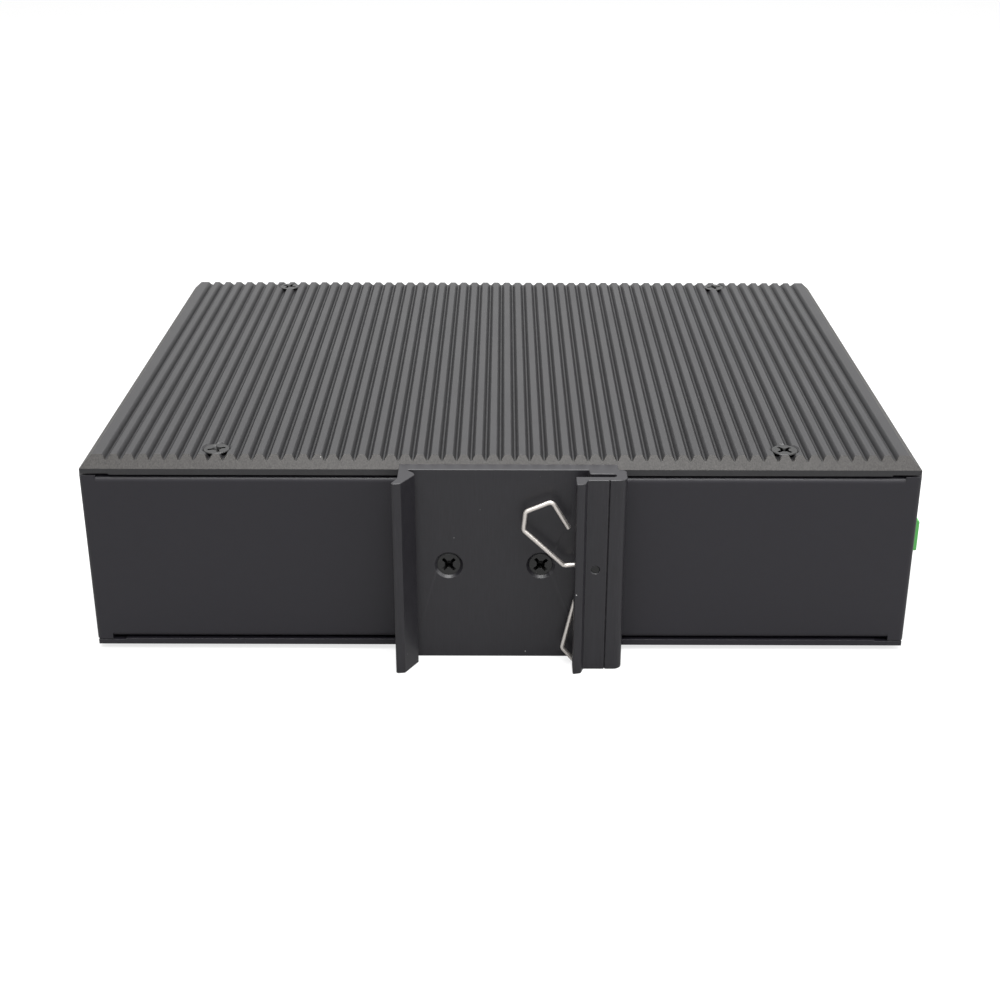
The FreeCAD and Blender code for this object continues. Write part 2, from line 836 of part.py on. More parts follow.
def clip_outline():
    """The clip's section from the wall outwards, anticlockwise, with its arcs."""
    left, root = -S.clip_left, -S.rail_left
    slot_in, slot_out = -S.jaw_step, -S.jaw_step - S.jaw_slot
    slot_round = S.jaw_slot / 2
    toe_right = S.jaw_toe_left + S.jaw_toe_wide
    points = [
        (left, S.clip_base),
        (left, -S.hook_neck),
        (left - S.hook_flare, -S.hook_reach + S.hook_tip / 6),
        (left - S.hook_flare * 0.6, -S.hook_reach),
        (left + S.hook_tip - S.hook_flare, -S.hook_reach + S.hook_tip / 8),
        (root + S.barb_over, -S.barb_low),
        (root + S.barb_over * 0.35, -S.barb_high),
        (root, 0),
        (RAIL_RIGHT, 0),
        (RAIL_RIGHT + S.jaw_step * 0.1, slot_in),
        (S.jaw_slot_end - slot_round, slot_in),
        (S.jaw_slot_end - slot_round, slot_out),
        (S.jaw_toe_left, slot_out),
        (S.jaw_toe_left, -JAW_OUT - S.jaw_toe),
        (toe_right - S.fit_gap, -JAW_OUT - S.jaw_toe + S.jaw_toe_slant),
        (toe_right + S.jaw_toe_slant, -JAW_OUT),
        (S.score_at - S.score_wide / 2, -JAW_OUT),
        (S.score_at, -JAW_OUT + S.score_deep),
        (S.score_at + S.score_wide / 2, -JAW_OUT),
        (S.jaw_right - S.jaw_round, -JAW_OUT),
        (S.jaw_right, -JAW_OUT + S.jaw_round),
        (S.jaw_right, -S.jaw_back),
        (S.jaw_right - S.jaw_back, 0),
        (S.jaw_right - S.jaw_back, S.clip_base),
    ]
    arcs = {
        5: (S.barb_over, 1),
        10: (slot_round, -1),
        19: (S.jaw_round, 1),
        21: (S.jaw_back, 1),
    }
    return points, arcs


def clip_fasteners():
    """Screws through the clip into nuts behind the rear wall."""
    screws, nuts = [], []
    length = S.clip_base + S.sheet_wall + S.nut_tall - S.clip_sunk
    for i, x in enumerate(clip_screw_places()):
        screws.append(
            countersunk_screw(
                f"clip_screw_{i}", (x, S.clip_sunk, 0), "+Y", S.clip_head, S.screw_radius, length
            )
        )
        nuts.append(clinch_nut(f"clip_nut_{i}", (x, WALL + S.sheet_wall, 0), "+Y"))
    group("clip_screws", screws)
    group("clip_nuts", nuts)


def spring_pin():
    """The pin across the jaw's slot that carries the spring."""
    start = -JAW_OUT + S.pin_sunk
    pin = rod("spring_pin", S.pin_radius, JAW_OUT - S.pin_sunk * 2, (S.pin_at_x, start, S.pin_at_z), "+Y")
    return keep("spring_pin", pin)


def bent_wire(points, radii, wire_radius):
    """A round wire along straight runs joined by tangent arcs."""
    edges, last = [], points[0]
    for before, point, after, radius in zip(points, points[1:], points[2:], radii):
        back = (before - point).normalize()
        ahead = (after - point).normalize()
        half = back.getAngle(ahead) / 2
        reach = radius / math.tan(half)
        middle = (back + ahead).normalize() * (radius / math.sin(half) - radius)
        start, end = point + back * reach, point + ahead * reach
        edges.append(Part.LineSegment(last, start).toShape())
        edges.append(Part.Arc(start, point + middle, end).toShape())
        last = end
    edges.append(Part.LineSegment(last, points[-1]).toShape())
    path = Part.Wire(edges)
    ring = Part.Wire([Part.Circle(points[0], points[1] - points[0], wire_radius).toShape()])
    return path.makePipeShell([ring], True, False)


def clip_spring():
    """The bent wire: a loop about the pin and two hooked arms, rocked onto one side."""
    half = [
        (S.loop_reach, S.leg_half),
        (-S.leg_reach, S.leg_half),
        (-S.knee_reach, S.knee_half),
        (-S.nose_reach, S.nose_half),
        (-S.hook_back, S.hook_half),
        (-S.end_back, S.end_half),
    ]
    upper = [(x.number, y.number) for x, y in half]
    lower = [(x, -y) for x, y in upper]
    drop = S.leg_half.number - S.pin_radius.number - S.wire_radius.number - S.spring_gap.number
    turn = math.radians(S.spring_angle.number)
    depth = -S.jaw_step.number - S.jaw_slot.number / 2
    points = []
    for x, y in upper[::-1] + lower:
        y -= drop
        across = x * math.cos(turn) - y * math.sin(turn)
        along = x * math.sin(turn) + y * math.cos(turn)
        points.append(V(S.pin_at_x.number + across, depth, S.pin_at_z.number + along))
    bends = [S.wire_bend.number] * 4
    radii = bends + [S.loop_bend.number] * 2 + bends
    wire = DOC.addObject("Part::Feature", "clip_spring")
    wire.Shape = bent_wire(points, radii, S.wire_radius.number)
    wire.Placement = FreeCAD.Placement()
    return keep("clip_spring", wire)


# ---------------------------------------------------------------- power plug
def plug_rear():
    """The plug's side nearest the rear wall."""
    return WALL + S.plug_rear


def plug_width():
    """The plug's width over all poles."""
    return S.pole_total * S.pole_pitch + S.plug_side * 2


def plug_floor():
    """The underside of the plug's head."""
    return BOARD_TOP + S.header_wall - S.plug_rim + S.play


def header_window():
    """Corners of the window in the end wall, from the rear wall's outer face."""
    rear = plug_rear() - WALL - S.fit_gap
    low = (rear - S.plug_side, BOARD_TOP - S.fit_gap)
    high = (rear + plug_width() + S.plug_side + S.fit_gap * 2, header_top() + S.fit_gap)
    return low, high


def header_top():
    """The upper face of the header."""
    return plug_floor() + S.plug_high - S.plug_rim + S.play + S.header_wall


def power_header():
    """The header on the board: a box open to the end wall."""
    body = new_body("power_header")
    section = new_sketch(body, "power_header_section", "XZ_Plane")
    back = HALF_X - S.header_deep
    rectangle(section, (back, BOARD_TOP), (HALF_X - S.fit_gap, header_top()))
    width = plug_width() + S.plug_side * 2
    pad(body, "power_header_block", section, width, reverse=True)
    hollow = new_sketch(body, "power_header_hollow", "YZ_Plane", offset=back + S.header_back)
    side = S.plug_side * 2 - S.play
    low = plug_floor() + S.plug_rim - S.play
    high = plug_floor() + S.plug_high - S.plug_rim + S.play
    rectangle(hollow, (side, low), (width - side, high))
    pocket(body, "power_header_cavity", hollow, S.header_deep, reverse=True)
    slots = new_sketch(body, "power_header_slots", "YZ_Plane", offset=back)
    for y in pole_places():
        reach = S.contact_thick / 2 + S.fit_gap / 4
        middle = plug_middle()
        y = y - plug_rear() + S.plug_side
        rectangle(slots, (y - reach, middle - reach), (y + reach, middle + reach))
    pocket(body, "power_header_slots_cut", slots, S.header_back * 3, both_ways=True)
    return place(body, (0, plug_rear() - S.plug_side, 0))


def plug_middle():
    """The height of the plug's contacts."""
    return plug_floor() + S.plug_high / 2


def pole_places():
    """Each pole's place along Y."""
    first = plug_rear() + S.plug_side + S.pole_pitch / 2
    return [first + S.pole_pitch * pole for pole in range(int(S.pole_total.number))]


def header_pins():
    """The pins of the header, bent down into the board."""
    pins = []
    thick = S.contact_thick
    back = HALF_X - S.header_deep
    for i, y in enumerate(pole_places()):
        start = back - thick * 1.5
        low_y = y - thick / 2
        middle = plug_middle() - thick / 2
        along = block(
            f"header_pin_run_{i}", (start, low_y, middle), (S.header_deep - S.header_back, thick, thick)
        )
        drop = block(
            f"header_pin_tail_{i}",
            (start, low_y, BOARD_TOP),
            (thick, thick, middle - BOARD_TOP),
        )
        pins.append(fuse(f"header_pin_{i}", [along, drop]))
    return group("header_pins", pins)


def power_plug():
    """The plug: a head outside the case, a nose in the header, screw wells and wire holes."""
    body = new_body("power_plug")
    section = new_sketch(body, "power_plug_section", "XZ_Plane")
    low, high = plug_floor(), plug_floor() + S.plug_high
    face = HALF_X + S.plug_out
    seat = HALF_X + S.fit_gap
    nose = seat - S.plug_nose
    outline(
        section,
        [
            (nose, low + S.plug_rim),
            (seat, low + S.plug_rim),
            (seat, low),
            (face, low),
            (face, high - S.plug_chamfer),
            (face - S.plug_chamfer, high),
            (seat, high),
            (seat, high - S.plug_rim),
            (nose, high - S.plug_rim),
        ],
    )
    pad(body, "power_plug_block", section, plug_width(), reverse=True)
    sides = new_sketch(body, "power_plug_sides")
    for edge in (size(0), plug_width()):
        rectangle(sides, (nose - S.plug_rim, edge - S.plug_side), (seat, edge + S.plug_side))
    pocket(body, "power_plug_sides_cut", sides, S.case_height, both_ways=True)
    entries = new_sketch(body, "power_plug_entries", "YZ_Plane", offset=face)
    half = S.wire_hole / 2
    for y in pole_places():
        y = y - plug_rear()
        rectangle(entries, (y - half, plug_middle() - half), (y + half, plug_middle() + half))
    pocket(body, "power_plug_entry_cut", entries, S.wire_hole_deep)
    wells = new_sketch(body, "power_plug_wells", offset=high)
    for y in pole_places():
        circle(wells, plug_screw_x(), y - plug_rear(), S.plug_screw + S.fit_gap)
    pocket(body, "power_plug_well_cut", wells, S.plug_high / 2)
    sockets = new_sketch(body, "power_plug_sockets", "YZ_Plane", offset=nose)
    reach = S.contact_thick / 2 + S.play
    for y in pole_places():
        y = y - plug_rear()
        rectangle(sockets, (y - reach, plug_middle() - reach), (y + reach, plug_middle() + reach))
    pocket(body, "power_plug_socket_cut", sockets, S.plug_nose - S.header_wall, reverse=True)
    return place(body, (0, plug_rear(), 0))


def plug_screw_x():
    """The line of the plug's clamp screws."""
    return HALF_X + S.plug_out / 2


def plug_screws():
    """The clamp screws in the plug's wells."""
    low = plug_middle() + S.wire_hole / 2 - S.clamp_wall
    high = plug_floor() + S.plug_high - S.plug_chamfer
    screws = [
        rod(f"plug_screw_{i}", S.plug_screw, high - low, (plug_screw_x(), y, low))
        for i, y in enumerate(pole_places())
    ]
    return group("plug_screws", screws)


def plug_clamps():
    """The metal cages that grip the wires, one behind each wire hole."""
    clamps = []
    side = S.wire_hole - S.fit_gap
    wall = S.clamp_wall
    deep = S.wire_hole_deep / 2
    start = HALF_X + S.plug_out - S.wire_hole_deep + S.fit_gap
    for i, y in enumerate(pole_places()):
        low = (start, y - side / 2, plug_middle() - side / 2)
        outer = block(f"plug_clamp_outer_{i}", low, (deep, side, side - wall))
        room = (start - wall, y - side / 2 + wall, plug_middle() - side / 2 + wall)
        inner = block(f"plug_clamp_room_{i}", room, (deep + wall * 2, side - wall * 2, side))
        clamps.append(cut(f"plug_clamp_{i}", outer, [inner]))
    return group("plug_clamps", clamps)


# ---------------------------------------------------------------- ground terminal
def ground_terminal():
    """The ground screw, its washer and the nut behind the end wall."""
    at = (HALF_X + S.washer_thick, S.ground_along, GROUND_LEVEL)
    length = S.washer_thick + S.sheet_wall + S.nut_tall
    screw = pan_screw(
        "ground_screw", at, "-X", S.ground_head, S.ground_head_high, S.ground_radius, length
    )
    keep("ground_screw", screw)
    disc = rod("ground_washer_disc", S.washer_radius, S.washer_thick, (HALF_X, at[1], at[2]), "+X")
    hole = rod(
        "ground_washer_hole", S.ground_radius + S.fit_gap, S.washer_thick * 3,
        (HALF_X - S.washer_thick, at[1], at[2]), "+X",
    )
    keep("ground_washer", cut("ground_washer", disc, [hole]))
    start = (END_INNER - S.nut_tall, at[1], at[2])
    blank = hexagon("ground_nut_blank", S.ground_head, S.nut_tall, start, "+X")
    bore = rod(
        "ground_nut_bore", S.ground_radius + S.fit_gap / 2, S.nut_tall * 3,
        (END_INNER - S.nut_tall * 2, at[1], at[2]), "+X",
    )
    keep("ground_nut", cut("ground_nut", blank, [bore]))


# ---------------------------------------------------------------- circuit board
def post_places():
    """The board's fixing places."""
    front = WALL + S.case_depth * S.post_share
    return corners(BOARD_END - S.post_inset_x, (WALL + S.post_inset_y, front))


def main_board():
    """The circuit board with its fixing holes."""
    rear = WALL + S.sheet_wall + S.board_rear_gap
    front = FRONT - S.sheet_wall - S.board_front_gap
    plate = block(
        "board_plate", (-BOARD_END, rear, BOARD_LOW), (BOARD_END * 2, front - rear, S.board_thick)
    )
    holes = [
        rod(f"board_hole_{i}", S.screw_hole, S.board_thick * 3, (x, y, BOARD_LOW - S.board_thick))
        for i, (x, y) in enumerate(post_places())
    ]
    return keep("main_board", cut("main_board", plate, holes))


def board_posts():
    """Hexagonal posts on the lower cover, with the screws that hold the board on them."""
    posts, screws = [], []
    low = -TONGUE
    for i, (x, y) in enumerate(post_places()):
        blank = hexagon(f"post_blank_{i}", S.post_radius, BOARD_LOW - low, (x, y, low))
        floor = (x, y, low + S.sheet_wall)
        bore = rod(f"post_bore_{i}", S.screw_radius + S.fit_gap / 2, BOARD_LOW - low, floor)
        posts.append(cut(f"board_post_{i}", blank, [bore]))
        screws.append(
            pan_screw(
                f"board_screw_{i}", (x, y, BOARD_TOP), "-Z",
                S.screw_head, S.screw_radius, S.screw_radius, S.board_thick + S.nut_tall,
            )
        )
    group("board_posts", posts)
    group("board_screws", screws)


def chips():
    """The switching chip under the board, with its pad and heat block on the lower cover."""
    half = S.chip_size / 2
    x, y = BOARD_END * S.chip_share, WALL + S.chip_y
    low = BOARD_LOW - S.chip_thick
    chip = block("switch_chip", (x - half, y - half, low), (S.chip_size, S.chip_size, S.chip_thick))
    keep("switch_chip", chip)
    pad_low = low - S.pad_thick
    sheet = block("thermal_pad", (x - half, y - half, pad_low), (S.chip_size, S.chip_size, S.pad_thick))
    keep("thermal_pad", sheet)
    heat = S.heat_size / 2
    rise = pad_low + TONGUE
    blank = block("heat_blank", (x - heat, y - heat, -TONGUE), (S.heat_size, S.heat_size, rise))
    keep("heat_block", blank)


def board_parts():
    """What else stands on the board."""
    top = BOARD_TOP
    phy_y = FRONT - S.jack_body_deep - S.phy_size * 1.5
    phys = [
        block(
            f"phy_chip_{i}", (JACK_CENTRE + shift, phy_y, top), (S.phy_size, S.phy_size, S.phy_thick)
        )
        for i, shift in enumerate((S.phy_size * -1.5, S.phy_size * 0.5))
    ]
    group("phy_chips", phys)
    can_x = BOARD_END - S.can_from_end
    cans = [
        rod(f"capacitor_{i}", S.can_radius, S.can_high, (can_x, S.can_y + S.can_pitch * i, top))
        for i in range(3)
    ]
    group("input_capacitors", cans)
    side, tall = S.coil_size, S.coil_high
    solid_part("power_inductor", BOARD_END - S.coil_from_end, S.coil_y, (side, side, tall))
    core_x = BOARD_END - S.core_from_end
    solid_part("isolation_transformer", core_x, S.core_y, (side * 1.4, side * 1.2, tall * 1.6))
    solid_part("alarm_relay", BOARD_END - S.relay_from_end, S.relay_y, (side * 0.8, side * 1.5, tall * 1.2))
    thick = S.phy_thick
    solid_part("memory_chip", BOARD_END * S.memory_share, S.memory_y, (S.phy_size, S.phy_size * 0.6, thick))
    solid_part("clock_crystal", BOARD_END * S.crystal_share, S.crystal_y, (thick * 4, thick * 9, thick * 3))


def solid_part(name, x, y, sides):
    """A boxed component that stands on the board."""
    return keep(name, block(name, (x, y, BOARD_TOP), sides))


# ---------------------------------------------------------------- jacks
def jack_block_half():
    """Half the width of the jack block over its shield."""
    return (S.jack_columns - 1) * S.jack_pitch / 2 + S.jack_wide / 2 + S.jack_edge + S.shield_wall


def jack_first():
    """The middle of the first jack column along X."""
    return JACK_CENTRE - (S.jack_columns - 1) * S.jack_pitch / 2


def jack_level(side):
    """The middle height of the upper (1) or lower (-1) row of jacks."""
    return BOARD_TOP + JACK_HIGH / 2 + JACK_HIGH * S.jack_row_share / 2 * side


def jack_cuts(body, name, grow, depth, both_ways):
    """Cut both rows of jack openings, the latch notches facing away from each other."""
    for side, word in ((1, "upper"), (-1, "lower")):
        sketch = new_sketch(body, f"{name}_{word}_opening", "XZ_Plane")
        jack_outline(sketch, jack_first(), jack_level(side), side, grow)
        opening = pocket(body, f"{name}_{word}_cut", sketch, depth, both_ways, reverse=not both_ways)
        repeat(body, f"{name}_{word}_row", opening, sketch, S.jack_pitch, S.jack_columns)


def jack_outline(sketch, x, z, side, grow):
    """The opening of one jack: a rectangle with a stepped notch for the latch."""
    half = S.jack_wide / 2 + grow
    base = z - side * (JACK_TALL / 2 + grow)
    rim = z + side * (JACK_TALL / 2 + grow)
    shelf = rim + side * JACK_HIGH * S.latch_tall_share
    peak = shelf + side * JACK_HIGH * S.latch_step_share
    wide, slot = S.latch_wide / 2 + grow, S.latch_slot / 2 + grow
    right = [(half, base), (half, rim), (wide, rim), (wide, shelf), (slot, shelf), (slot, peak)]
    left = [(-dx, height) for dx, height in right[::-1]]
    outline(sketch, [(x + dx, height) for dx, height in right + left])


def jack_front():
    """The face of the jack block."""
    return FRONT + S.jack_proud


def port_housing():
    """The plastic block of the stacked jacks, with one cavity for each plug."""
    body = new_body("port_housing")
    section = new_sketch(body, "port_housing_section", "XZ_Plane")
    half = jack_block_half() - S.shield_wall - S.fit_gap / 2
    low = BOARD_TOP + S.fit_gap
    high = BOARD_TOP + JACK_HIGH - S.shield_wall - S.fit_gap / 2
    rectangle(section, (JACK_CENTRE - half, low), (JACK_CENTRE + half, high))
    depth = S.jack_body_deep - S.shield_wall * 2 - S.fit_gap
    pad(body, "port_housing_block", section, depth)
    jack_cuts(body, "port_housing", size(0), S.jack_deep, both_ways=False)
    return place(body, (0, jack_front() - S.shield_wall - S.fit_gap / 2, 0))


def port_shield():
    """The stamped shield round the jack block, with a window for each jack."""
    body = new_body("port_shield")
    section = new_sketch(body, "port_shield_section", "XZ_Plane")
    half = jack_block_half()
    low, high = BOARD_TOP, BOARD_TOP + JACK_HIGH
    rectangle(section, (JACK_CENTRE - half, low), (JACK_CENTRE + half, high))
    pad(body, "port_shield_block", section, S.jack_body_deep)
    inside = new_sketch(body, "port_shield_inside", "XZ_Plane", offset=S.shield_wall)
    inner = half - S.shield_wall
    rectangle(
        inside,
        (JACK_CENTRE - inner, low - S.shield_wall),
        (JACK_CENTRE + inner, high - S.shield_wall),
    )
    pocket(body, "port_shield_hollow", inside, S.jack_body_deep - S.shield_wall * 2, reverse=True)
    jack_cuts(body, "port_shield", S.fit_gap / 2, S.shield_wall * 3, both_ways=True)
    return place(body, (0, jack_front(), 0))


def port_contacts():
    """The contact springs of every jack, each a slanted strip in its cavity."""
    strips = []
    for side, word in ((1, "upper"), (-1, "lower")):
        level = jack_level(side) - side * JACK_TALL / 2
        for column in range(int(S.jack_columns.number)):
            middle = jack_first() + S.jack_pitch * column
            for line in range(8):
                x = middle + S.jack_wide / 10 * (line - 3.5) - S.shield_wall / 2
                strips.append(contact_strip(f"contact_{word}_{column}_{line}", x, level, side))
    return group("port_contacts", strips)


def contact_strip(name, x, level, side):
    """One contact spring, rising from the cavity's floor towards its back."""
    thick = S.shield_wall
    strip = DOC.addObject("Part::Wedge", name)
    deep = S.jack_deep * 0.55
    rise = JACK_TALL * 0.45
    bind(strip, Xmin=0, Xmax=thick, Ymin=0, Ymax=rise, Zmin=0, Zmax=deep)
    bind(strip, X2min=0, X2max=thick, Z2min=0, Z2max=thick)
    start = x if side > 0 else x + thick
    place(strip, (start, jack_front() - S.jack_deep * 0.35, level))
    turn = FreeCAD.Rotation(V(side, 0, 0), V(0, 0, side), V(0, -1, 0), "XYZ")
    strip.Placement = FreeCAD.Placement(strip.Placement.Base, turn)
    return strip


# ---------------------------------------------------------------- optical cages
def cage_block_half():
    """Half the width of the ganged cages."""
    return ((S.cage_total - 1) * S.cage_pitch + S.cage_wide) / 2 + S.cage_wall


def cage_middles():
    """The middle of each cage along X."""
    first = CAGE_CENTRE - (S.cage_total - 1) * S.cage_pitch / 2
    return [first + S.cage_pitch * cage for cage in range(int(S.cage_total.number))]


def sfp_cage():
    """The ganged cages: thin walls round a bay for each optical module."""
    body = new_body("sfp_cage")
    low = BOARD_TOP + S.cage_lift
    high = low + S.cage_high
    half = cage_block_half()
    section = new_sketch(body, "sfp_cage_section", "XZ_Plane")
    rectangle(section, (CAGE_CENTRE - half, low), (CAGE_CENTRE + half, high))
    pad(body, "sfp_cage_block", section, S.cage_deep)
    bays = new_sketch(body, "sfp_cage_bays", "XZ_Plane")
    wall = S.cage_wall
    bay = S.cage_pitch / 2 - wall / 2
    for middle in cage_middles():
        rectangle(bays, (middle - bay, low + wall), (middle + bay, high - wall))
    pocket(body, "sfp_cage_cut", bays, S.cage_deep - wall, reverse=True)
    return place(body, (0, FRONT + S.cage_proud, 0))


def sfp_sockets():
    """The edge sockets at the back of the cages."""
    sockets = []
    depth = S.cage_deep / 5
    back = FRONT + S.cage_proud - S.cage_deep + S.cage_wall
    low = BOARD_TOP + S.cage_lift + S.cage_wall
    wide = S.cage_wide * 0.8
    for i, middle in enumerate(cage_middles()):
        foot = (middle - wide / 2, back, low)
        base = block(f"sfp_socket_blank_{i}", foot, (wide, depth, S.cage_high * 0.55))
        slot = block(
            f"sfp_socket_slot_{i}",
            (middle - wide * 0.42, back + depth / 2, low + S.cage_high * 0.22),
            (wide * 0.84, depth, S.cage_high * 0.14),
        )
        sockets.append(cut(f"sfp_socket_{i}", base, [slot]))
    return group("sfp_sockets", sockets)


# ---------------------------------------------------------------- indicators
def light_levels():
    """Heights of the indicators, in one column."""
    middle = BOARD_TOP + ROOM / 2
    first = middle - LIGHT_PITCH * (S.light_total - 1) / 2
    return [first + LIGHT_PITCH * light for light in range(int(S.light_total.number))]


def indicators():
    """A board of light-emitting diodes behind the panel and a lens before each."""
    lenses, diodes = [], []
    inner = FRONT - S.sheet_wall
    length = S.light_proud + S.sheet_wall * 3
    thick = S.board_thick
    side = S.light_radius * 2
    board_y = inner - S.sheet_wall * 2 - S.light_radius - thick - S.fit_gap
    for i, z in enumerate(light_levels()):
        start = inner - S.sheet_wall * 2
        lenses.append(rod(f"light_lens_{i}", S.light_radius, length, (LIGHT_ROW, start, z), "+Y"))
        low = (LIGHT_ROW - side / 2, board_y + thick, z - side / 2)
        diodes.append(block(f"light_diode_{i}", low, (side, S.light_radius, side)))
    group("status_lenses", lenses)
    group("status_leds", diodes)
    low, high = BOARD_TOP, light_levels()[-1] + S.light_radius * 1.4
    wide = LIGHT_PITCH
    plate = block(
        "light_board", (LIGHT_ROW - wide, board_y, low), (wide * 2, thick, high - low)
    )
    keep("light_board", plate)


def build():
    """Make every sub-part."""
    covers()
    chassis()
    front_panel()
    cover_screws()
    cover_nuts()
    panel_fasteners()
    rail_clip()
    clip_fasteners()
    spring_pin()
    clip_spring()
    power_header()
    header_pins()
    power_plug()
    plug_screws()
    plug_clamps()
    ground_terminal()
    main_board()
    board_posts()
    chips()
    board_parts()
    port_housing()
    port_shield()
    port_contacts()
    sfp_cage()
    sfp_sockets()
    indicators()
    DOC.recompute()


def check():
    """Stop if any object failed or any sub-part has no valid shape."""
    faults = [
        thing.Name
        for thing in DOC.Objects
        if any(word in thing.State for word in ("Invalid", "Error"))
    ]
    for name, thing in PIECES.items():
        if thing.Shape.isNull() or not thing.Shape.isValid() or not thing.Shape.Solids:
            faults.append(name)
    if faults:
        raise RuntimeError("failed: " + ", ".join(faults))


def write():
    """Write one STEP file for each sub-part."""
    os.makedirs("parts", exist_ok=True)
    for name, thing in PIECES.items():
        thing.Shape.exportStep(f"parts/{name}.step")


build()
check()
write()
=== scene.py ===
"""Looks of a rail-mounted network switch: finishes, fine shapes, light and camera."""
import logging
import math
from dataclasses import dataclass, field
from enum import Enum

import bmesh
import bpy
from mathutils import Matrix, Vector


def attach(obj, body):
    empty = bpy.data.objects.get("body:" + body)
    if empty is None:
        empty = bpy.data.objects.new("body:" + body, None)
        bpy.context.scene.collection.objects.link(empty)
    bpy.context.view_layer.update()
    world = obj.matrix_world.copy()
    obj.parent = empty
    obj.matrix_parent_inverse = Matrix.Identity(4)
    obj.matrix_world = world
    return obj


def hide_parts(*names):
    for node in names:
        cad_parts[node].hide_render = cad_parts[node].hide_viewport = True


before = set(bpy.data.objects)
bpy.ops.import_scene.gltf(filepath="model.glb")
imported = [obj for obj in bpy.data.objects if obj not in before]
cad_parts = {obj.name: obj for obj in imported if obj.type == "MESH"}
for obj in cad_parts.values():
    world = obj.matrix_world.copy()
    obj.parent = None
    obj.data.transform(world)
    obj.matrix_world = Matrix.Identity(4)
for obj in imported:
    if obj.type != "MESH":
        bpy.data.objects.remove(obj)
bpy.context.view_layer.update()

LOG = logging.getLogger("rail_switch")
MM = 0.001

WIRE_ANGLE = 50.0
CORNERS = ((-1, -1), (1, -1), (1, 1), (-1, 1))
WHITE = (1.0, 1.0, 1.0, 1.0)

Pair = tuple[float, float]
Triple = tuple[float, float, float]


def linked(name: str, data: bpy.types.ID) -> bpy.types.Object:
    """Put data into the scene as an object."""
    made = bpy.data.objects.new(name, data)
    bpy.context.scene.collection.objects.link(made)
    return made


# ---------------------------------------------------------------- shapes
class Axis(Enum):
    """The direction in which an outline is pulled or about which a profile is turned."""

    X = (1, 2, 0)
    Y = (0, 2, 1)
    Z = (0, 1, 2)

    def point(self, across: float, up: float, along: float) -> Vector:
        """Place two outline coordinates and one along the axis in the frame, in metres."""
        spot = [0.0, 0.0, 0.0]
        for slot, value in zip(self.value, (across, up, along)):
            spot[slot] = value * MM
        return Vector(spot)


@dataclass(frozen=True)
class Fillet:
    """The arc that rounds one corner: its middle, and the spokes to its two ends."""

    centre: Vector
    start: Vector
    end: Vector

    @classmethod
    def between(
        cls, back: Vector, here: Vector, ahead: Vector, radius: float, room: float = math.inf
    ) -> "Fillet":
        """Fit an arc between the two ways from a corner, or the largest that room allows."""
        half = back.angle(ahead) / 2
        reach = min(radius / math.tan(half), room)
        radius = reach * math.tan(half)
        back, ahead = back.normalized(), ahead.normalized()
        centre = here + (back + ahead).normalized() * (radius / math.sin(half))
        return cls(centre, here + back * reach - centre, here + ahead * reach - centre)


def rounded(corners: list[Triple], steps: int = 5) -> list[Pair]:
    """Round a closed outline, whose corners are given by across, up and fillet radius."""
    outline: list[Pair] = []
    for index, (x, y, radius) in enumerate(corners):
        if radius <= 0:
            outline.append((x, y))
            continue
        here = Vector((x, y))
        back = Vector(corners[index - 1][:2]) - here
        ahead = Vector(corners[(index + 1) % len(corners)][:2]) - here
        room = min(back.length * 0.49, ahead.length * 0.49)
        arc = Fillet.between(back, here, ahead, radius, room)
        sweep = arc.start.angle_signed(arc.end)
        for step in range(steps + 1):
            spoke = arc.start.copy()
            spoke.rotate(Matrix.Rotation(-sweep * step / steps, 2))
            outline.append((arc.centre.x + spoke.x, arc.centre.y + spoke.y))
    return outline


def rounded_path(corners: list[Vector], radii: list[float], steps: int = 8) -> list[Vector]:
    """Bend an open path at its inner corners.

    Args:
        corners: the path's corners.
        radii: places each bend's middle, where an arc of this radius would have it. The bend
            itself is drawn with a radius of 1 unit.
        steps: straight runs that stand for each bend.

    Returns:
        The path's points in order.
    """
    path = [corners[0]]
    for before, here, after, radius in zip(corners, corners[1:], corners[2:], radii):
        arc = Fillet.between(before - here, here, after - here, radius)
        path += [arc.centre + arc.start.slerp(arc.end, step / steps) for step in range(steps + 1)]
    return path + [corners[-1]]


def inset(corners: list[Triple], by: float) -> list[Triple]:
    """Move a closed outline's corners inwards and fit their fillets.

    Args:
        corners: across, up and fillet radius of each corner, in millimetres.
        by: how far each side moves in.

    Returns:
        The corners of the smaller outline.
    """
    spots = [Vector(corner[:2]) for corner in corners]
    total = len(spots)
    area = sum(spots[i - 1].cross(spots[i]) for i in range(total))
    side = 1.0 if area > 0 else -1.0
    smaller = []
    for index, (x, y, radius) in enumerate(corners):
        into = (spots[index] - spots[index - 1]).normalized()
        away = (spots[(index + 1) % total] - spots[index]).normalized()
        first, second = (Vector((-way.y, way.x)) * side for way in (into, away))
        shift = (first + second) * (by / (1.0 + first.dot(second)))
        convex = into.cross(away) * side > 0
        fillet = max(radius - by, radius * 0.2) if convex else radius + by
        smaller.append((x + shift.x, y + shift.y, fillet if radius else 0.0))
    return smaller


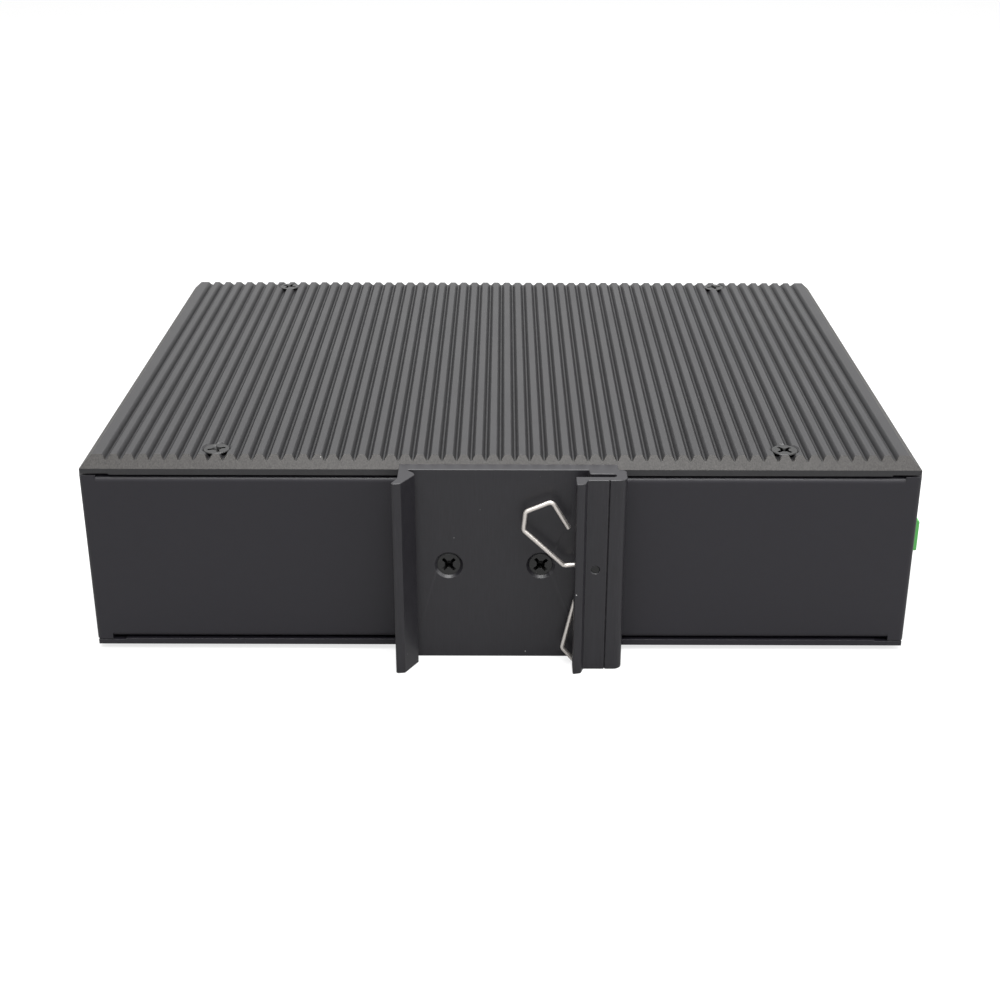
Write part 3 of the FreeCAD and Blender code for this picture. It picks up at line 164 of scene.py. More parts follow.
class Blank:
    """A solid that is pulled, turned, cut and joined before it becomes a piece."""

    def __init__(self) -> None:
        """Start from nothing."""
        self.mesh = bmesh.new()

    @classmethod
    def pulled(cls, outline: list[Pair], low: float, high: float, axis: Axis) -> "Blank":
        """Pull a closed outline from low to high along an axis, in millimetres."""
        return cls.lofted([(outline, low), (outline, high)], axis)

    @classmethod
    def eased(
        cls, corners: list[Triple], low: float, high: float, axis: Axis, ease: float
    ) -> "Blank":
        """Pull a filleted outline along an axis and chamfer the rims of both ends."""
        full, small = rounded(corners), rounded(inset(corners, ease))
        rings = [(small, low), (full, low + ease), (full, high - ease), (small, high)]
        return cls.lofted(rings, axis)

    @classmethod
    def lofted(cls, rings: list[tuple[list[Pair], float]], axis: Axis) -> "Blank":
        """Join outlines of equally many points, each at its own place along an axis."""
        blank = cls()
        loops = [
            [blank.mesh.verts.new(axis.point(across, up, level)) for across, up in ring]
            for ring, level in rings
        ]
        for first, second in zip(loops, loops[1:]):
            for index in range(len(first)):
                after = (index + 1) % len(first)
                blank.mesh.faces.new((first[index], first[after], second[after], second[index]))
        blank.mesh.faces.new(loops[0])
        blank.mesh.faces.new(loops[-1])
        return blank.tidied()

    @classmethod
    def block(cls, low: Triple, high: Triple) -> "Blank":
        """A box between two corners, in millimetres."""
        outline = [(low[0], low[1]), (high[0], low[1]), (high[0], high[1]), (low[0], high[1])]
        return cls.pulled(outline, low[2], high[2], Axis.Z)

    @classmethod
    def turned(
        cls, profile: list[Pair], centre: Pair, axis: Axis, steps: int = 40, phase: float = 0.0
    ) -> "Blank":
        """Turn a profile about an axis.

        Args:
            profile: radius and place along the axis of each point, from one end to the other.
            centre: the axis' place across and up.
            axis: the direction of the axis.
            steps: sides of the turned shape.
            phase: turn of the first side, in degrees.

        Returns:
            The closed solid.
        """
        blank = cls()
        rings: list[list[bmesh.types.BMVert]] = []
        for radius, along in profile:
            if radius < 1e-6:
                rings.append([blank.mesh.verts.new(axis.point(*centre, along))])
                continue
            ring = []
            for step in range(steps):
                angle = math.tau * step / steps + math.radians(phase)
                across = centre[0] + radius * math.cos(angle)
                up = centre[1] + radius * math.sin(angle)
                ring.append(blank.mesh.verts.new(axis.point(across, up, along)))
            rings.append(ring)
        for first, second in zip(rings, rings[1:]):
            for step in range(steps):
                after = (step + 1) % steps
                corners = [first[step % len(first)], first[after % len(first)]]
                corners += [second[after % len(second)], second[step % len(second)]]
                unique = list(dict.fromkeys(corners))
                if len(unique) > 2:
                    blank.mesh.faces.new(unique)
        for ring in (rings[0], rings[-1]):
            if len(ring) > 1:
                blank.mesh.faces.new(ring)
        return blank.tidied()

    def tidied(self) -> "Blank":
        """Point all faces outwards."""
        bmesh.ops.recalc_face_normals(self.mesh, faces=self.mesh.faces)
        return self

    def trimmed(self, point: Triple, normal: Triple) -> "Blank":
        """Cut off what lies on a plane's outer side and close the cut."""
        everything = self.mesh.verts[:] + self.mesh.edges[:] + self.mesh.faces[:]
        cut = bmesh.ops.bisect_plane(
            self.mesh, geom=everything, dist=1e-7, plane_co=Vector(point) * MM,
            plane_no=Vector(normal), clear_outer=True,
        )
        edges = [part for part in cut["geom_cut"] if isinstance(part, bmesh.types.BMEdge)]
        bmesh.ops.holes_fill(self.mesh, edges=edges, sides=0)
        return self.tidied()

    def changed(self, matrix: Matrix) -> "Blank":
        """Move or turn the whole solid."""
        bmesh.ops.transform(self.mesh, matrix=matrix, verts=self.mesh.verts)
        return self

    def moved(self, offset: Triple) -> "Blank":
        """Shift the solid by an offset in millimetres."""
        return self.changed(Matrix.Translation(Vector(offset) * MM))

    def joined(self, *others: "Blank") -> "Blank":
        """Take other solids into this one as separate shells."""
        for other in others:
            spare = bpy.data.meshes.new("spare")
            other.mesh.to_mesh(spare)
            self.mesh.from_mesh(spare)
            bpy.data.meshes.remove(spare)
        return self

    def without(self, *cutters: "Blank") -> "Blank":
        """Cut other solids away from this one."""
        body = self.piece("cut_body")
        tool = Blank().joined(*cutters).piece("cut_tool")
        cut = body.modifiers.new("cut", "BOOLEAN")
        cut.operation = "DIFFERENCE"
        cut.solver = "EXACT"
        cut.use_self = True
        cut.object = tool
        result = Blank()
        graph = bpy.context.evaluated_depsgraph_get()
        made = bpy.data.meshes.new_from_object(body.evaluated_get(graph))
        result.mesh.from_mesh(made)
        for spare in (body.data, tool.data, made):
            bpy.data.meshes.remove(spare)
        return result

    def piece(self, name: str) -> bpy.types.Object:
        """Make the solid a scene object."""
        data = bpy.data.meshes.new(name)
        self.mesh.to_mesh(data)
        made = linked(name, data)
        bpy.context.view_layer.update()
        return made


def shade_by_angle(piece: bpy.types.Object, angle: float) -> None:
    """Shade smoothly over edges flatter than an angle and sharply over the rest."""
    piece.data.shade_smooth()
    piece.data.set_sharp_from_angle(angle=math.radians(angle))


def tube(name: str, path: list[Vector], radius: float, sides: int = 10) -> bpy.types.Object:
    """A round wire along a path.

    Args:
        name: the piece's name.
        path: points of the wire's middle, in millimetres.
        radius: the wire's radius, in millimetres.
        sides: sharpness of its round section.

    Returns:
        The wire as a mesh piece.
    """
    curve = bpy.data.curves.new(name, "CURVE")
    curve.dimensions = "3D"
    curve.bevel_depth = radius * MM
    curve.bevel_resolution = sides
    curve.use_fill_caps = True
    run = curve.splines.new("POLY")
    run.points.add(len(path) - 1)
    for spot, place in zip(run.points, path):
        spot.co = (*(place * MM), 1.0)
    made = linked(f"{name}_run", curve)
    graph = bpy.context.evaluated_depsgraph_get()
    data = bpy.data.meshes.new_from_object(made.evaluated_get(graph))
    data.name = name
    wire = linked(name, data)
    bpy.data.curves.remove(curve)
    shade_by_angle(wire, WIRE_ANGLE)
    return wire


# ---------------------------------------------------------------- shader effects
class Tree:
    """A short way to add and join shader nodes."""

    def __init__(self, nodes: bpy.types.NodeTree) -> None:
        """Wrap a node tree."""
        self.tree = nodes

    def add(self, kind: str, settings: dict | None = None, **inputs: object) -> bpy.types.Node:
        """Add a node, set its properties, and set or link its inputs.

        Args:
            kind: the node's type.
            settings: properties of the node itself.
            **inputs: input name, with _ for a space, to a value or an output socket.

        Returns:
            The new node.
        """
        node = self.tree.nodes.new(kind)
        for name, value in (settings or {}).items():
            setattr(node, name, value)
        self.feed(node, **inputs)
        return node

    def effect(self, effect: "Effect", **inputs: object) -> bpy.types.Node:
        """Add a shared node group, and set or link its inputs."""
        return self.add("ShaderNodeGroup", {"node_tree": effect.group()}, **inputs)

    def feed(self, node: bpy.types.Node, *places: tuple[int, object], **inputs: object) -> None:
        """Set or link inputs of a node, by place or by name with _ for a space."""
        named = [(name.replace("_", " "), value) for name, value in inputs.items()]
        for key, value in [*places, *named]:
            if isinstance(value, bpy.types.NodeSocket):
                self.tree.links.new(value, node.inputs[key])
            else:
                node.inputs[key].default_value = value

    def pair(self, kind: str, operation: str, first: object, second: object) -> bpy.types.Node:
        """One sum of two values or vectors."""
        node = self.add(kind, {"operation": operation})
        self.feed(node, (0, first), (1, second))
        return node

    def math(self, operation: str, first: object, second: object = 0.0) -> bpy.types.NodeSocket:
        """One sum of two values."""
        return self.pair("ShaderNodeMath", operation, first, second).outputs[0]

    def place(self, kind: str = "Object") -> bpy.types.NodeSocket:
        """A coordinate of the shaded point."""
        return self.add("ShaderNodeTexCoord").outputs[kind]

    def noise(self, place: object, scale: object, **inputs: object) -> bpy.types.NodeSocket:
        """Soft noise over a coordinate."""
        node = self.add("ShaderNodeTexNoise", Vector=place, Scale=scale, **inputs)
        return node.outputs["Fac"]

    def ramp(self, value: object, low: float, high: float) -> bpy.types.NodeSocket:
        """Stretch a value from low..high to 0..1."""
        node = self.add("ShaderNodeMapRange", {"clamp": True}, Value=value)
        self.feed(node, From_Min=low, From_Max=high)
        return node.outputs["Result"]

    def blend(self, mask: object, first: object, second: object) -> bpy.types.NodeSocket:
        """Mix two colours by a mask."""
        node = self.add("ShaderNodeMix", {"data_type": "RGBA"})
        self.feed(node, (0, mask), (6, first), (7, second))
        return node.outputs[2]


# The largest speck as a share of its cell, and the scale of the patches that break the lighter
# edges, which are partly worn and partly a painted highlight.
LARGEST_SPECK = 0.05
EDGE_BREAK_SCALE = 900.0
# Where the milled rim starts, as a share of the piece's box from its middle, and how upright its
# faces' normals are at least and at most.
RIM_STARTS = {"X": 0.4862, "Y": 0.482}
RIM_SLOPES = (0.5, 0.9)
# The scale of the patches that handling leaves.
SMUDGE_SCALE = 45.0
# The near-black colour of painted shade deep in a hollow.
HOLLOW_SHADE_COLOUR = (0.001, 0.001, 0.001, 1.0)


class Effect(Enum):
    """Node groups that several finishes share: name, inputs and outputs."""

    GRAIN = (
        "fine_grain", {"Scale": "Float", "Stretch": "Vector"}, {"Value": "Float", "Coarse": "Float"}
    )
    SPECKS = ("dust_specks", {"Scale": "Float", "Share": "Float"}, {"Mask": "Float"})
    # Rounded edge normals, and a mask of edges painted lighter: partly worn, partly a painted
    # highlight.
    EDGES = ("worn_and_highlit_edges", {"Radius": "Float"}, {"Normal": "Vector", "Mask": "Float"})
    CUT = ("cut_rim", {}, {"Mask": "Float"})
    # Painted shade: a mask of narrow hollows, found by ambient occlusion, that are darkened.
    HOLLOW_SHADE = ("painted_hollow_shade", {"Reach": "Float"}, {"Mask": "Float"})
    SMUDGES = ("soft_smudges", {"Scale": "Float"}, {"Value": "Float"})

    def group(self) -> bpy.types.NodeTree:
        """The group, built on first use."""
        name, *sides = self.value
        if name in bpy.data.node_groups:
            return bpy.data.node_groups[name]
        group = bpy.data.node_groups.new(name, "ShaderNodeTree")
        for side, sockets in zip(("INPUT", "OUTPUT"), sides):
            for socket, kind in sockets.items():
                kind = f"NodeSocket{kind}"
                group.interface.new_socket(name=socket, in_out=side, socket_type=kind)
        entry = group.nodes.new("NodeGroupInput").outputs
        out = group.nodes.new("NodeGroupOutput")
        tree = Tree(group)
        tree.feed(out, **BUILDERS[self](tree, entry))
        return group


# What a builder gets: the tree to add to and the group's inputs. It returns the outputs by name.
Sockets = dict[str, bpy.types.NodeSocket]


def build_grain(tree: Tree, entry: Sockets) -> Sockets:
    """Grain that can be drawn out along the way a part was extruded or brushed."""
    drawn = tree.pair("ShaderNodeVectorMath", "MULTIPLY", tree.place(), entry["Stretch"]).outputs[0]
    wide = tree.math("MULTIPLY", entry["Scale"], 0.09)
    return {
        "Value": tree.noise(drawn, entry["Scale"], Detail=3.0, Roughness=0.6),
        "Coarse": tree.noise(drawn, wide, Detail=2.0),
    }


def build_specks(tree: Tree, entry: Sockets) -> Sockets:
    """Small pale specks of dust, each a different size."""
    cells = tree.add("ShaderNodeTexVoronoi", Vector=tree.place(), Scale=entry["Scale"])
    parts = tree.add("ShaderNodeSeparateColor", Color=cells.outputs["Color"]).outputs
    size = tree.math("MULTIPLY", parts["Green"], LARGEST_SPECK)
    near = tree.math("LESS_THAN", cells.outputs["Distance"], size)
    chosen = tree.math("LESS_THAN", parts["Red"], entry["Share"])
    dot = tree.math("MULTIPLY", near, chosen)
    return {"Mask": tree.math("MULTIPLY", dot, parts["Blue"])}


def build_edges(tree: Tree, entry: Sockets) -> Sockets:
    """Edges that look slightly round, with a broken mask of edges painted lighter, partly worn and
    partly a painted highlight.
    """
    eased = tree.add("ShaderNodeBevel", {"samples": 6}, Radius=entry["Radius"]).outputs["Normal"]
    plain = tree.add("ShaderNodeNewGeometry").outputs["Normal"]
    match = tree.pair("ShaderNodeVectorMath", "DOT_PRODUCT", eased, plain).outputs["Value"]
    edge = tree.ramp(tree.math("SUBTRACT", 1.0, match), 0.01, 0.16)
    broken = tree.ramp(tree.noise(tree.place(), EDGE_BREAK_SCALE, Detail=3.0), 0.3, 0.65)
    return {"Normal": eased, "Mask": tree.math("MULTIPLY", edge, broken)}


def build_cut(tree: Tree, _: Sockets) -> Sockets:
    """Mask of the slanted faces that were milled around an extrusion's outer edge."""
    spot = tree.add("ShaderNodeSeparateXYZ", Vector=tree.place("Generated")).outputs
    near = []
    for side, start in RIM_STARTS.items():
        away = tree.math("ABSOLUTE", tree.math("SUBTRACT", spot[side], 0.5))
        near.append(tree.math("GREATER_THAN", away, start))
    slope = tree.add("ShaderNodeSeparateXYZ", Vector=tree.place("Normal")).outputs["Z"]
    steep, flat = (tree.math("GREATER_THAN", slope, limit) for limit in RIM_SLOPES)
    tilted = tree.math("SUBTRACT", steep, flat)
    return {"Mask": tree.math("MULTIPLY", tree.math("MAXIMUM", *near), tilted)}


def build_hollow_shade(tree: Tree, entry: Sockets) -> Sockets:
    """Mask of narrow hollows where shade is painted: the colour is darkened and the shine lowered.
    """
    settings = {"samples": 5, "only_local": True}
    shade = tree.add("ShaderNodeAmbientOcclusion", settings, Distance=entry["Reach"])
    return {"Mask": tree.math("SUBTRACT", 1.0, tree.ramp(shade.outputs["AO"], 0.35, 0.92))}


def build_smudges(tree: Tree, entry: Sockets) -> Sockets:
    """Wide soft patches of handling that change gloss."""
    cloud = tree.noise(tree.place(), entry["Scale"], Detail=4.0, Distortion=0.6)
    return {"Value": tree.ramp(cloud, 0.3, 0.7)}


BUILDERS = {
    Effect.GRAIN: build_grain,
    Effect.SPECKS: build_specks,
    Effect.EDGES: build_edges,
    Effect.CUT: build_cut,
    Effect.HOLLOW_SHADE: build_hollow_shade,
    Effect.SMUDGES: build_smudges,
}


def new_material(name: str) -> tuple[bpy.types.Material, Tree, bpy.types.Node]:
    """A new material, its node tree and its shader."""
    made = bpy.data.materials.new(name)
    made.use_nodes = True
    return made, Tree(made.node_tree), made.node_tree.nodes["Principled BSDF"]


@dataclass(frozen=True)
class Finish:
    """One surface finish, with the grain, dust and gloss that it shows, edges painted lighter as
    partly worn and partly a painted highlight, and painted shade in hollows.
    """

    name: str
    colour: Triple
    roughness: float = 0.5
    metallic: float = 0.0
    specular: float = 0.5
    grain_scale: float = 4000.0
    grain_stretch: Triple = (1.0, 1.0, 1.0)
    colour_change: float = 0.12
    gloss_change: float = 0.1
    bump: float = 0.15
    bump_depth: float = 0.01
    specks: float = 0.0
    speck_scale: float = 420.0
    speck_colour: Triple = (0.6, 0.6, 0.6)
    edge_radius: float = 0.12
    # How strongly and in what colour the edges are painted lighter: partly worn, partly a painted
    # highlight.
    wear_and_highlight: float = 0.0
    wear_and_highlight_colour: Triple = (0.3, 0.3, 0.3)
    coat: float = 0.0
    cut_colour: Triple | None = None
    cut_dull: float = 0.62
    # How dark the painted shade in hollows is, and how far it reaches.
    hollow: float = 0.0
    hollow_reach: float = 1.2

    def material(self) -> bpy.types.Material:
        """The finish as a material, built on first use."""
        if self.name in bpy.data.materials:
            return bpy.data.materials[self.name]
        made, tree, shader = new_material(self.name)
        grain = tree.effect(Effect.GRAIN, Scale=self.grain_scale, Stretch=self.grain_stretch)
        edges = tree.effect(Effect.EDGES, Radius=self.edge_radius * MM)
        tone, shine = self.tone(tree, grain, edges), self.specular
        # Painted shade: narrow hollows are darkened towards near-black and lose their shine.
        if self.hollow:
            deep = tree.effect(Effect.HOLLOW_SHADE, Reach=self.hollow_reach * MM)
            dark = tree.math("MULTIPLY", deep.outputs["Mask"], self.hollow)
            tone = tree.blend(dark, tone, HOLLOW_SHADE_COLOUR)
            shine = tree.math("MULTIPLY", tree.math("SUBTRACT", 1.0, dark), shine)
        if self.cut_colour:
            dull = tree.math("MULTIPLY", tree.effect(Effect.CUT).outputs["Mask"], self.cut_dull)
            shine = tree.math("MULTIPLY", tree.math("SUBTRACT", 1.0, dull), shine)
        relief = tree.add("ShaderNodeBump", Height=grain.outputs["Value"], Strength=self.bump)
        tree.feed(relief, Distance=self.bump_depth * MM, Normal=edges.outputs["Normal"])
        tree.feed(shader, Base_Color=tone, Roughness=self.gloss(tree, grain))
        tree.feed(shader, Specular_IOR_Level=shine, Coat_Weight=self.coat)
        tree.feed(shader, Metallic=self.metallic, Normal=relief.outputs["Normal"])
        return made

    def tone(
        self, tree: Tree, grain: bpy.types.Node, edges: bpy.types.Node
    ) -> bpy.types.NodeSocket:
        """The colour, changed by grain, a milled rim, dust and edges painted lighter, partly worn
        and partly a painted highlight.
        """
        darker, lighter = self.toned(1 - self.colour_change), self.toned(1 + self.colour_change)
        tone = tree.blend(tree.ramp(grain.outputs["Value"], 0.3, 0.7), darker, lighter)
        cloud = tree.ramp(grain.outputs["Coarse"], 0.35, 0.65)
        tone = tree.blend(tree.math("MULTIPLY", cloud, 0.3), tone, darker)
        if self.cut_colour:
            palest = (*(2 * part for part in self.cut_colour), 1.0)
            sand = tree.blend(grain.outputs["Value"], (0.0, 0.0, 0.0, 1.0), palest)
            tone = tree.blend(tree.effect(Effect.CUT).outputs["Mask"], tone, sand)
        if self.specks:
            dust = tree.effect(Effect.SPECKS, Scale=self.speck_scale, Share=self.specks)
            tone = tree.blend(dust.outputs["Mask"], tone, (*self.speck_colour, 1.0))
        # Painted highlight and worn paint: edges are lightened towards the edge colour.
        if self.wear_and_highlight:
            lighter_edge = tree.math("MULTIPLY", edges.outputs["Mask"], self.wear_and_highlight)
            tone = tree.blend(lighter_edge, tone, (*self.wear_and_highlight_colour, 1.0))
        return tone

    def gloss(self, tree: Tree, grain: bpy.types.Node) -> bpy.types.NodeSocket:
        """The roughness, changed by grain and handling."""
        smudge = tree.effect(Effect.SMUDGES, Scale=SMUDGE_SCALE)
        spread = tree.math("MULTIPLY", grain.outputs["Value"], self.gloss_change)
        handled = tree.math("MULTIPLY", smudge.outputs["Value"], self.gloss_change * 0.5)
        both = tree.math("ADD", spread, handled)
        return tree.math("ADD", self.roughness - self.gloss_change * 0.75, both)

    def toned(self, factor: float) -> tuple[float, float, float, float]:
        """The finish's colour, lighter or darker."""
        red, green, blue = (min(part * factor, 1.0) for part in self.colour)
        return (red, green, blue, 1.0)

    def dress(self, *pieces: bpy.types.Object) -> None:
        """Give the finish to pieces."""
        made = self.material()
        for piece in pieces:
            if not piece.material_slots:
                piece.data.materials.append(made)
            for slot in piece.material_slots:
                slot.material = made


# Several finishes below paint their edges lighter, partly worn and partly a painted highlight, and
# darken their hollows as painted shade.
CASE_PAINT = Finish(
    "case_paint", (0.0125, 0.0115, 0.0155), roughness=0.42, specular=0.45, grain_scale=5200.0,
    specks=0.3, wear_and_highlight=0.12,
)
COVER_ANODISE = Finish(
    "cover_anodise", (0.02, 0.0195, 0.021), roughness=0.42, grain_scale=3800.0,
    grain_stretch=(1.0, 0.12, 1.0), colour_change=0.3, gloss_change=0.14, bump=0.3,
    specks=0.22, edge_radius=0.04, wear_and_highlight=0.25, cut_colour=(0.046, 0.0435, 0.0415), hollow=0.6,
)
CLIP_ANODISE = Finish(
    "clip_anodise", (0.014, 0.0132, 0.0162), roughness=0.38, grain_scale=3800.0,
    grain_stretch=(1.0, 1.0, 0.06), colour_change=0.2, gloss_change=0.12, bump=0.25,
    specks=0.35, wear_and_highlight=0.25,
)
SPRING_WIRE = Finish(
    "spring_wire", (0.25, 0.2, 0.165), roughness=0.28, metallic=1.0, grain_scale=3000.0,
    gloss_change=0.12, edge_radius=0.02,
)
BLACK_OXIDE = Finish(
    "black_oxide", (0.01, 0.01, 0.01), roughness=0.3, gloss_change=0.15,
    edge_radius=0.06, wear_and_highlight=0.5, wear_and_highlight_colour=(0.12, 0.12, 0.12), hollow=0.95, hollow_reach=1.6,
)
ZINC = Finish("zinc_plate", (0.62, 0.62, 0.6), roughness=0.34, metallic=1.0, gloss_change=0.15)
TERMINAL_GREEN = Finish(
    "terminal_green", (0.12, 0.36, 0.08), roughness=0.42, grain_scale=2500.0, colour_change=0.06,
    bump=0.12, gloss_change=0.12, edge_radius=0.15,
)
CONTACT_GOLD = Finish(
    "contact_gold", (0.83, 0.62, 0.28), roughness=0.25, metallic=1.0, edge_radius=0.03
)
BOARD_GREEN = Finish("board_green", (0.02, 0.13, 0.05), roughness=0.35, coat=0.3)
BLACK_MOULDING = Finish("black_moulding", (0.02, 0.02, 0.02), roughness=0.5, bump=0.2)
PAD_GREY = Finish("pad_grey", (0.35, 0.4, 0.48), roughness=0.8)
MILLED_ALLOY = Finish(
    "milled_alloy", (0.72, 0.72, 0.73), roughness=0.35, metallic=1.0, grain_stretch=(0.05, 1.0, 1.0)
)
SHIELD_PLATE = Finish(
    "shield_plate", (0.72, 0.71, 0.69), roughness=0.3, metallic=1.0, grain_scale=2600.0,
    grain_stretch=(0.1, 1.0, 1.0), gloss_change=0.14, edge_radius=0.08,
)
CLEAR_LENS = Finish("clear_lens", (0.5, 0.66, 0.5), roughness=0.16, coat=0.5, colour_change=0.05)
PALE_MOULDING = Finish("pale_moulding", (0.72, 0.7, 0.62), roughness=0.5)
CAN_SLEEVE = Finish("can_sleeve", (0.03, 0.035, 0.07), roughness=0.3, coat=0.3)
DARK_PIN = Finish("dark_pin", (0.006, 0.006, 0.006), roughness=0.3, edge_radius=0.25, wear_and_highlight=0.4)

# Finishes of the solids that are kept as they are.
CAD_FINISHES = {
    CASE_PAINT: ("chassis", "front_panel", "lower_cover"),
    ZINC: ("cover_nuts", "panel_nuts", "clip_nuts", "plug_clamps", "ground_nut", "board_screws"),
    DARK_PIN: ("spring_pin",),
    TERMINAL_GREEN: ("power_header",),
    CONTACT_GOLD: ("header_pins", "board_posts"),
    BOARD_GREEN: ("main_board", "light_board"),
    BLACK_MOULDING: (
        "switch_chip", "phy_chips", "memory_chip", "power_inductor", "port_housing", "sfp_sockets",
    ),
    PAD_GREY: ("thermal_pad",),
    MILLED_ALLOY: ("heat_block",),
    SHIELD_PLATE: ("port_shield", "sfp_cage", "clock_crystal"),
    PALE_MOULDING: ("isolation_transformer", "alarm_relay", "status_leds"),
    CAN_SLEEVE: ("input_capacitors",),
}


def dress_frame() -> None:
    """Give every kept solid its finish."""
    for finish, names in CAD_FINISHES.items():
        finish.dress(*(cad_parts[name] for name in names))
        LOG.info("dressed %s with %s", ", ".join(names), finish.name)


def install(
    piece: bpy.types.Object, finish: Finish, node: str, angle: float, body: str = "case"
) -> None:
    """Shade and dress a piece, let it ride on its body and stand for a node.

    Args:
        piece: the finished piece.
        finish: its surface finish.
        node: the node that it replaces.
        angle: edges flatter than this are shaded smoothly, in degrees.
        body: the body that it moves with.
    """
    shade_by_angle(piece, angle)
    finish.dress(piece)
    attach(piece, body)
    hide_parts(node)
    LOG.info("%s: %d faces on %s", piece.name, len(piece.data.polygons), body)


# ---------------------------------------------------------------- screws
class Head(Enum):
    """Kinds of screw head."""

    COUNTERSUNK = "countersunk"
    PAN = "pan"


@dataclass
class CrossScrew:
    """A screw with a cross recess, built with its head's face at the origin."""

    head: float = 2.6
    shank: float = 1.5
    length: float = 6.0
    recess: float = 1.8
    recess_wide: float = 0.66
    recess_deep: float = 1.25
    kind: Head = Head.COUNTERSUNK
    head_high: float = 1.5

    def profile(self) -> list[Pair]:
        """Radius and depth along the screw, from its face to its tip."""
        if self.kind is Head.COUNTERSUNK:
            rise = self.head - self.shank
            top = [(self.head - 0.14, 0.0), (self.head, -0.12), (self.head, -0.2)]
            top.append((self.shank, -rise - 0.1))
        else:
            dome = [(0.55, 0.0), (0.72, 0.06), (0.86, 0.17), (0.95, 0.34), (1.0, 0.6), (1.0, 1.0)]
            top = [(self.head * wide, -self.head_high * deep) for wide, deep in dome]
            top.append((self.shank, -self.head_high))
        return top + [(self.shank, -self.length + 0.3), (self.shank - 0.3, -self.length)]

    def blank(self, turn: float) -> Blank:
        """The screw, its shank along -Z and its cross turned by so many degrees."""
        body = Blank.turned(self.profile(), (0.0, 0.0), Axis.Z, 48)
        core = [(0.0, 0.4), (self.recess * 0.52, 0.4), (self.recess * 0.5, 0.0)]
        core += [(0.28, -self.recess_deep), (0.0, -self.recess_deep - 0.18)]
        body = body.without(Blank.turned(core, (0.0, 0.0), Axis.Z, 16, turn))
        for quarter in (0.0, 90.0):
            body = body.without(self.arm(turn + quarter))
        return body

    def arm(self, turn: float) -> Blank:
        """One straight slot of the cross, narrower and shorter towards its floor."""
        top, foot = self.recess, self.recess * 0.42
        outline = [(-top - 0.12, 0.4), (-top, 0.0), (-foot, -self.recess_deep)]
        outline += [(-x, z) for x, z in outline[::-1]]
        slot = Blank.pulled(outline, -self.recess_wide / 2, self.recess_wide / 2, Axis.Y)
        return slot.changed(Matrix.Rotation(math.radians(turn), 4, "Z"))


class Way(Enum):
    """The way a screw's shank points."""

    LEFT = (-1, 0, 0)
    RIGHT = (1, 0, 0)
    FRONT = (0, 1, 0)
    DOWN = (0, 0, -1)
    UP = (0, 0, 1)

    def spin(self) -> Matrix:
        """The turn that brings a shank from -Z to this way."""
        return Vector((0, 0, -1)).rotation_difference(Vector(self.value)).to_matrix().to_4x4()


def set_screws(
    node: str, screw: CrossScrew, finish: Finish, places: list[tuple[Triple, Way, float]]
) -> None:
    """Set several like screws as one piece.

    Args:
        node: the node that they replace.
        screw: the kind of screw.
        finish: their surface finish.
        places: middle of each head's face, the way the shank points, and the cross' turn.
    """
    whole = Blank()
    for spot, way, turn in places:
        whole.joined(screw.blank(turn).changed(way.spin()).moved(spot))
    install(whole.piece(f"{node}_cross"), finish, node, 35.0)


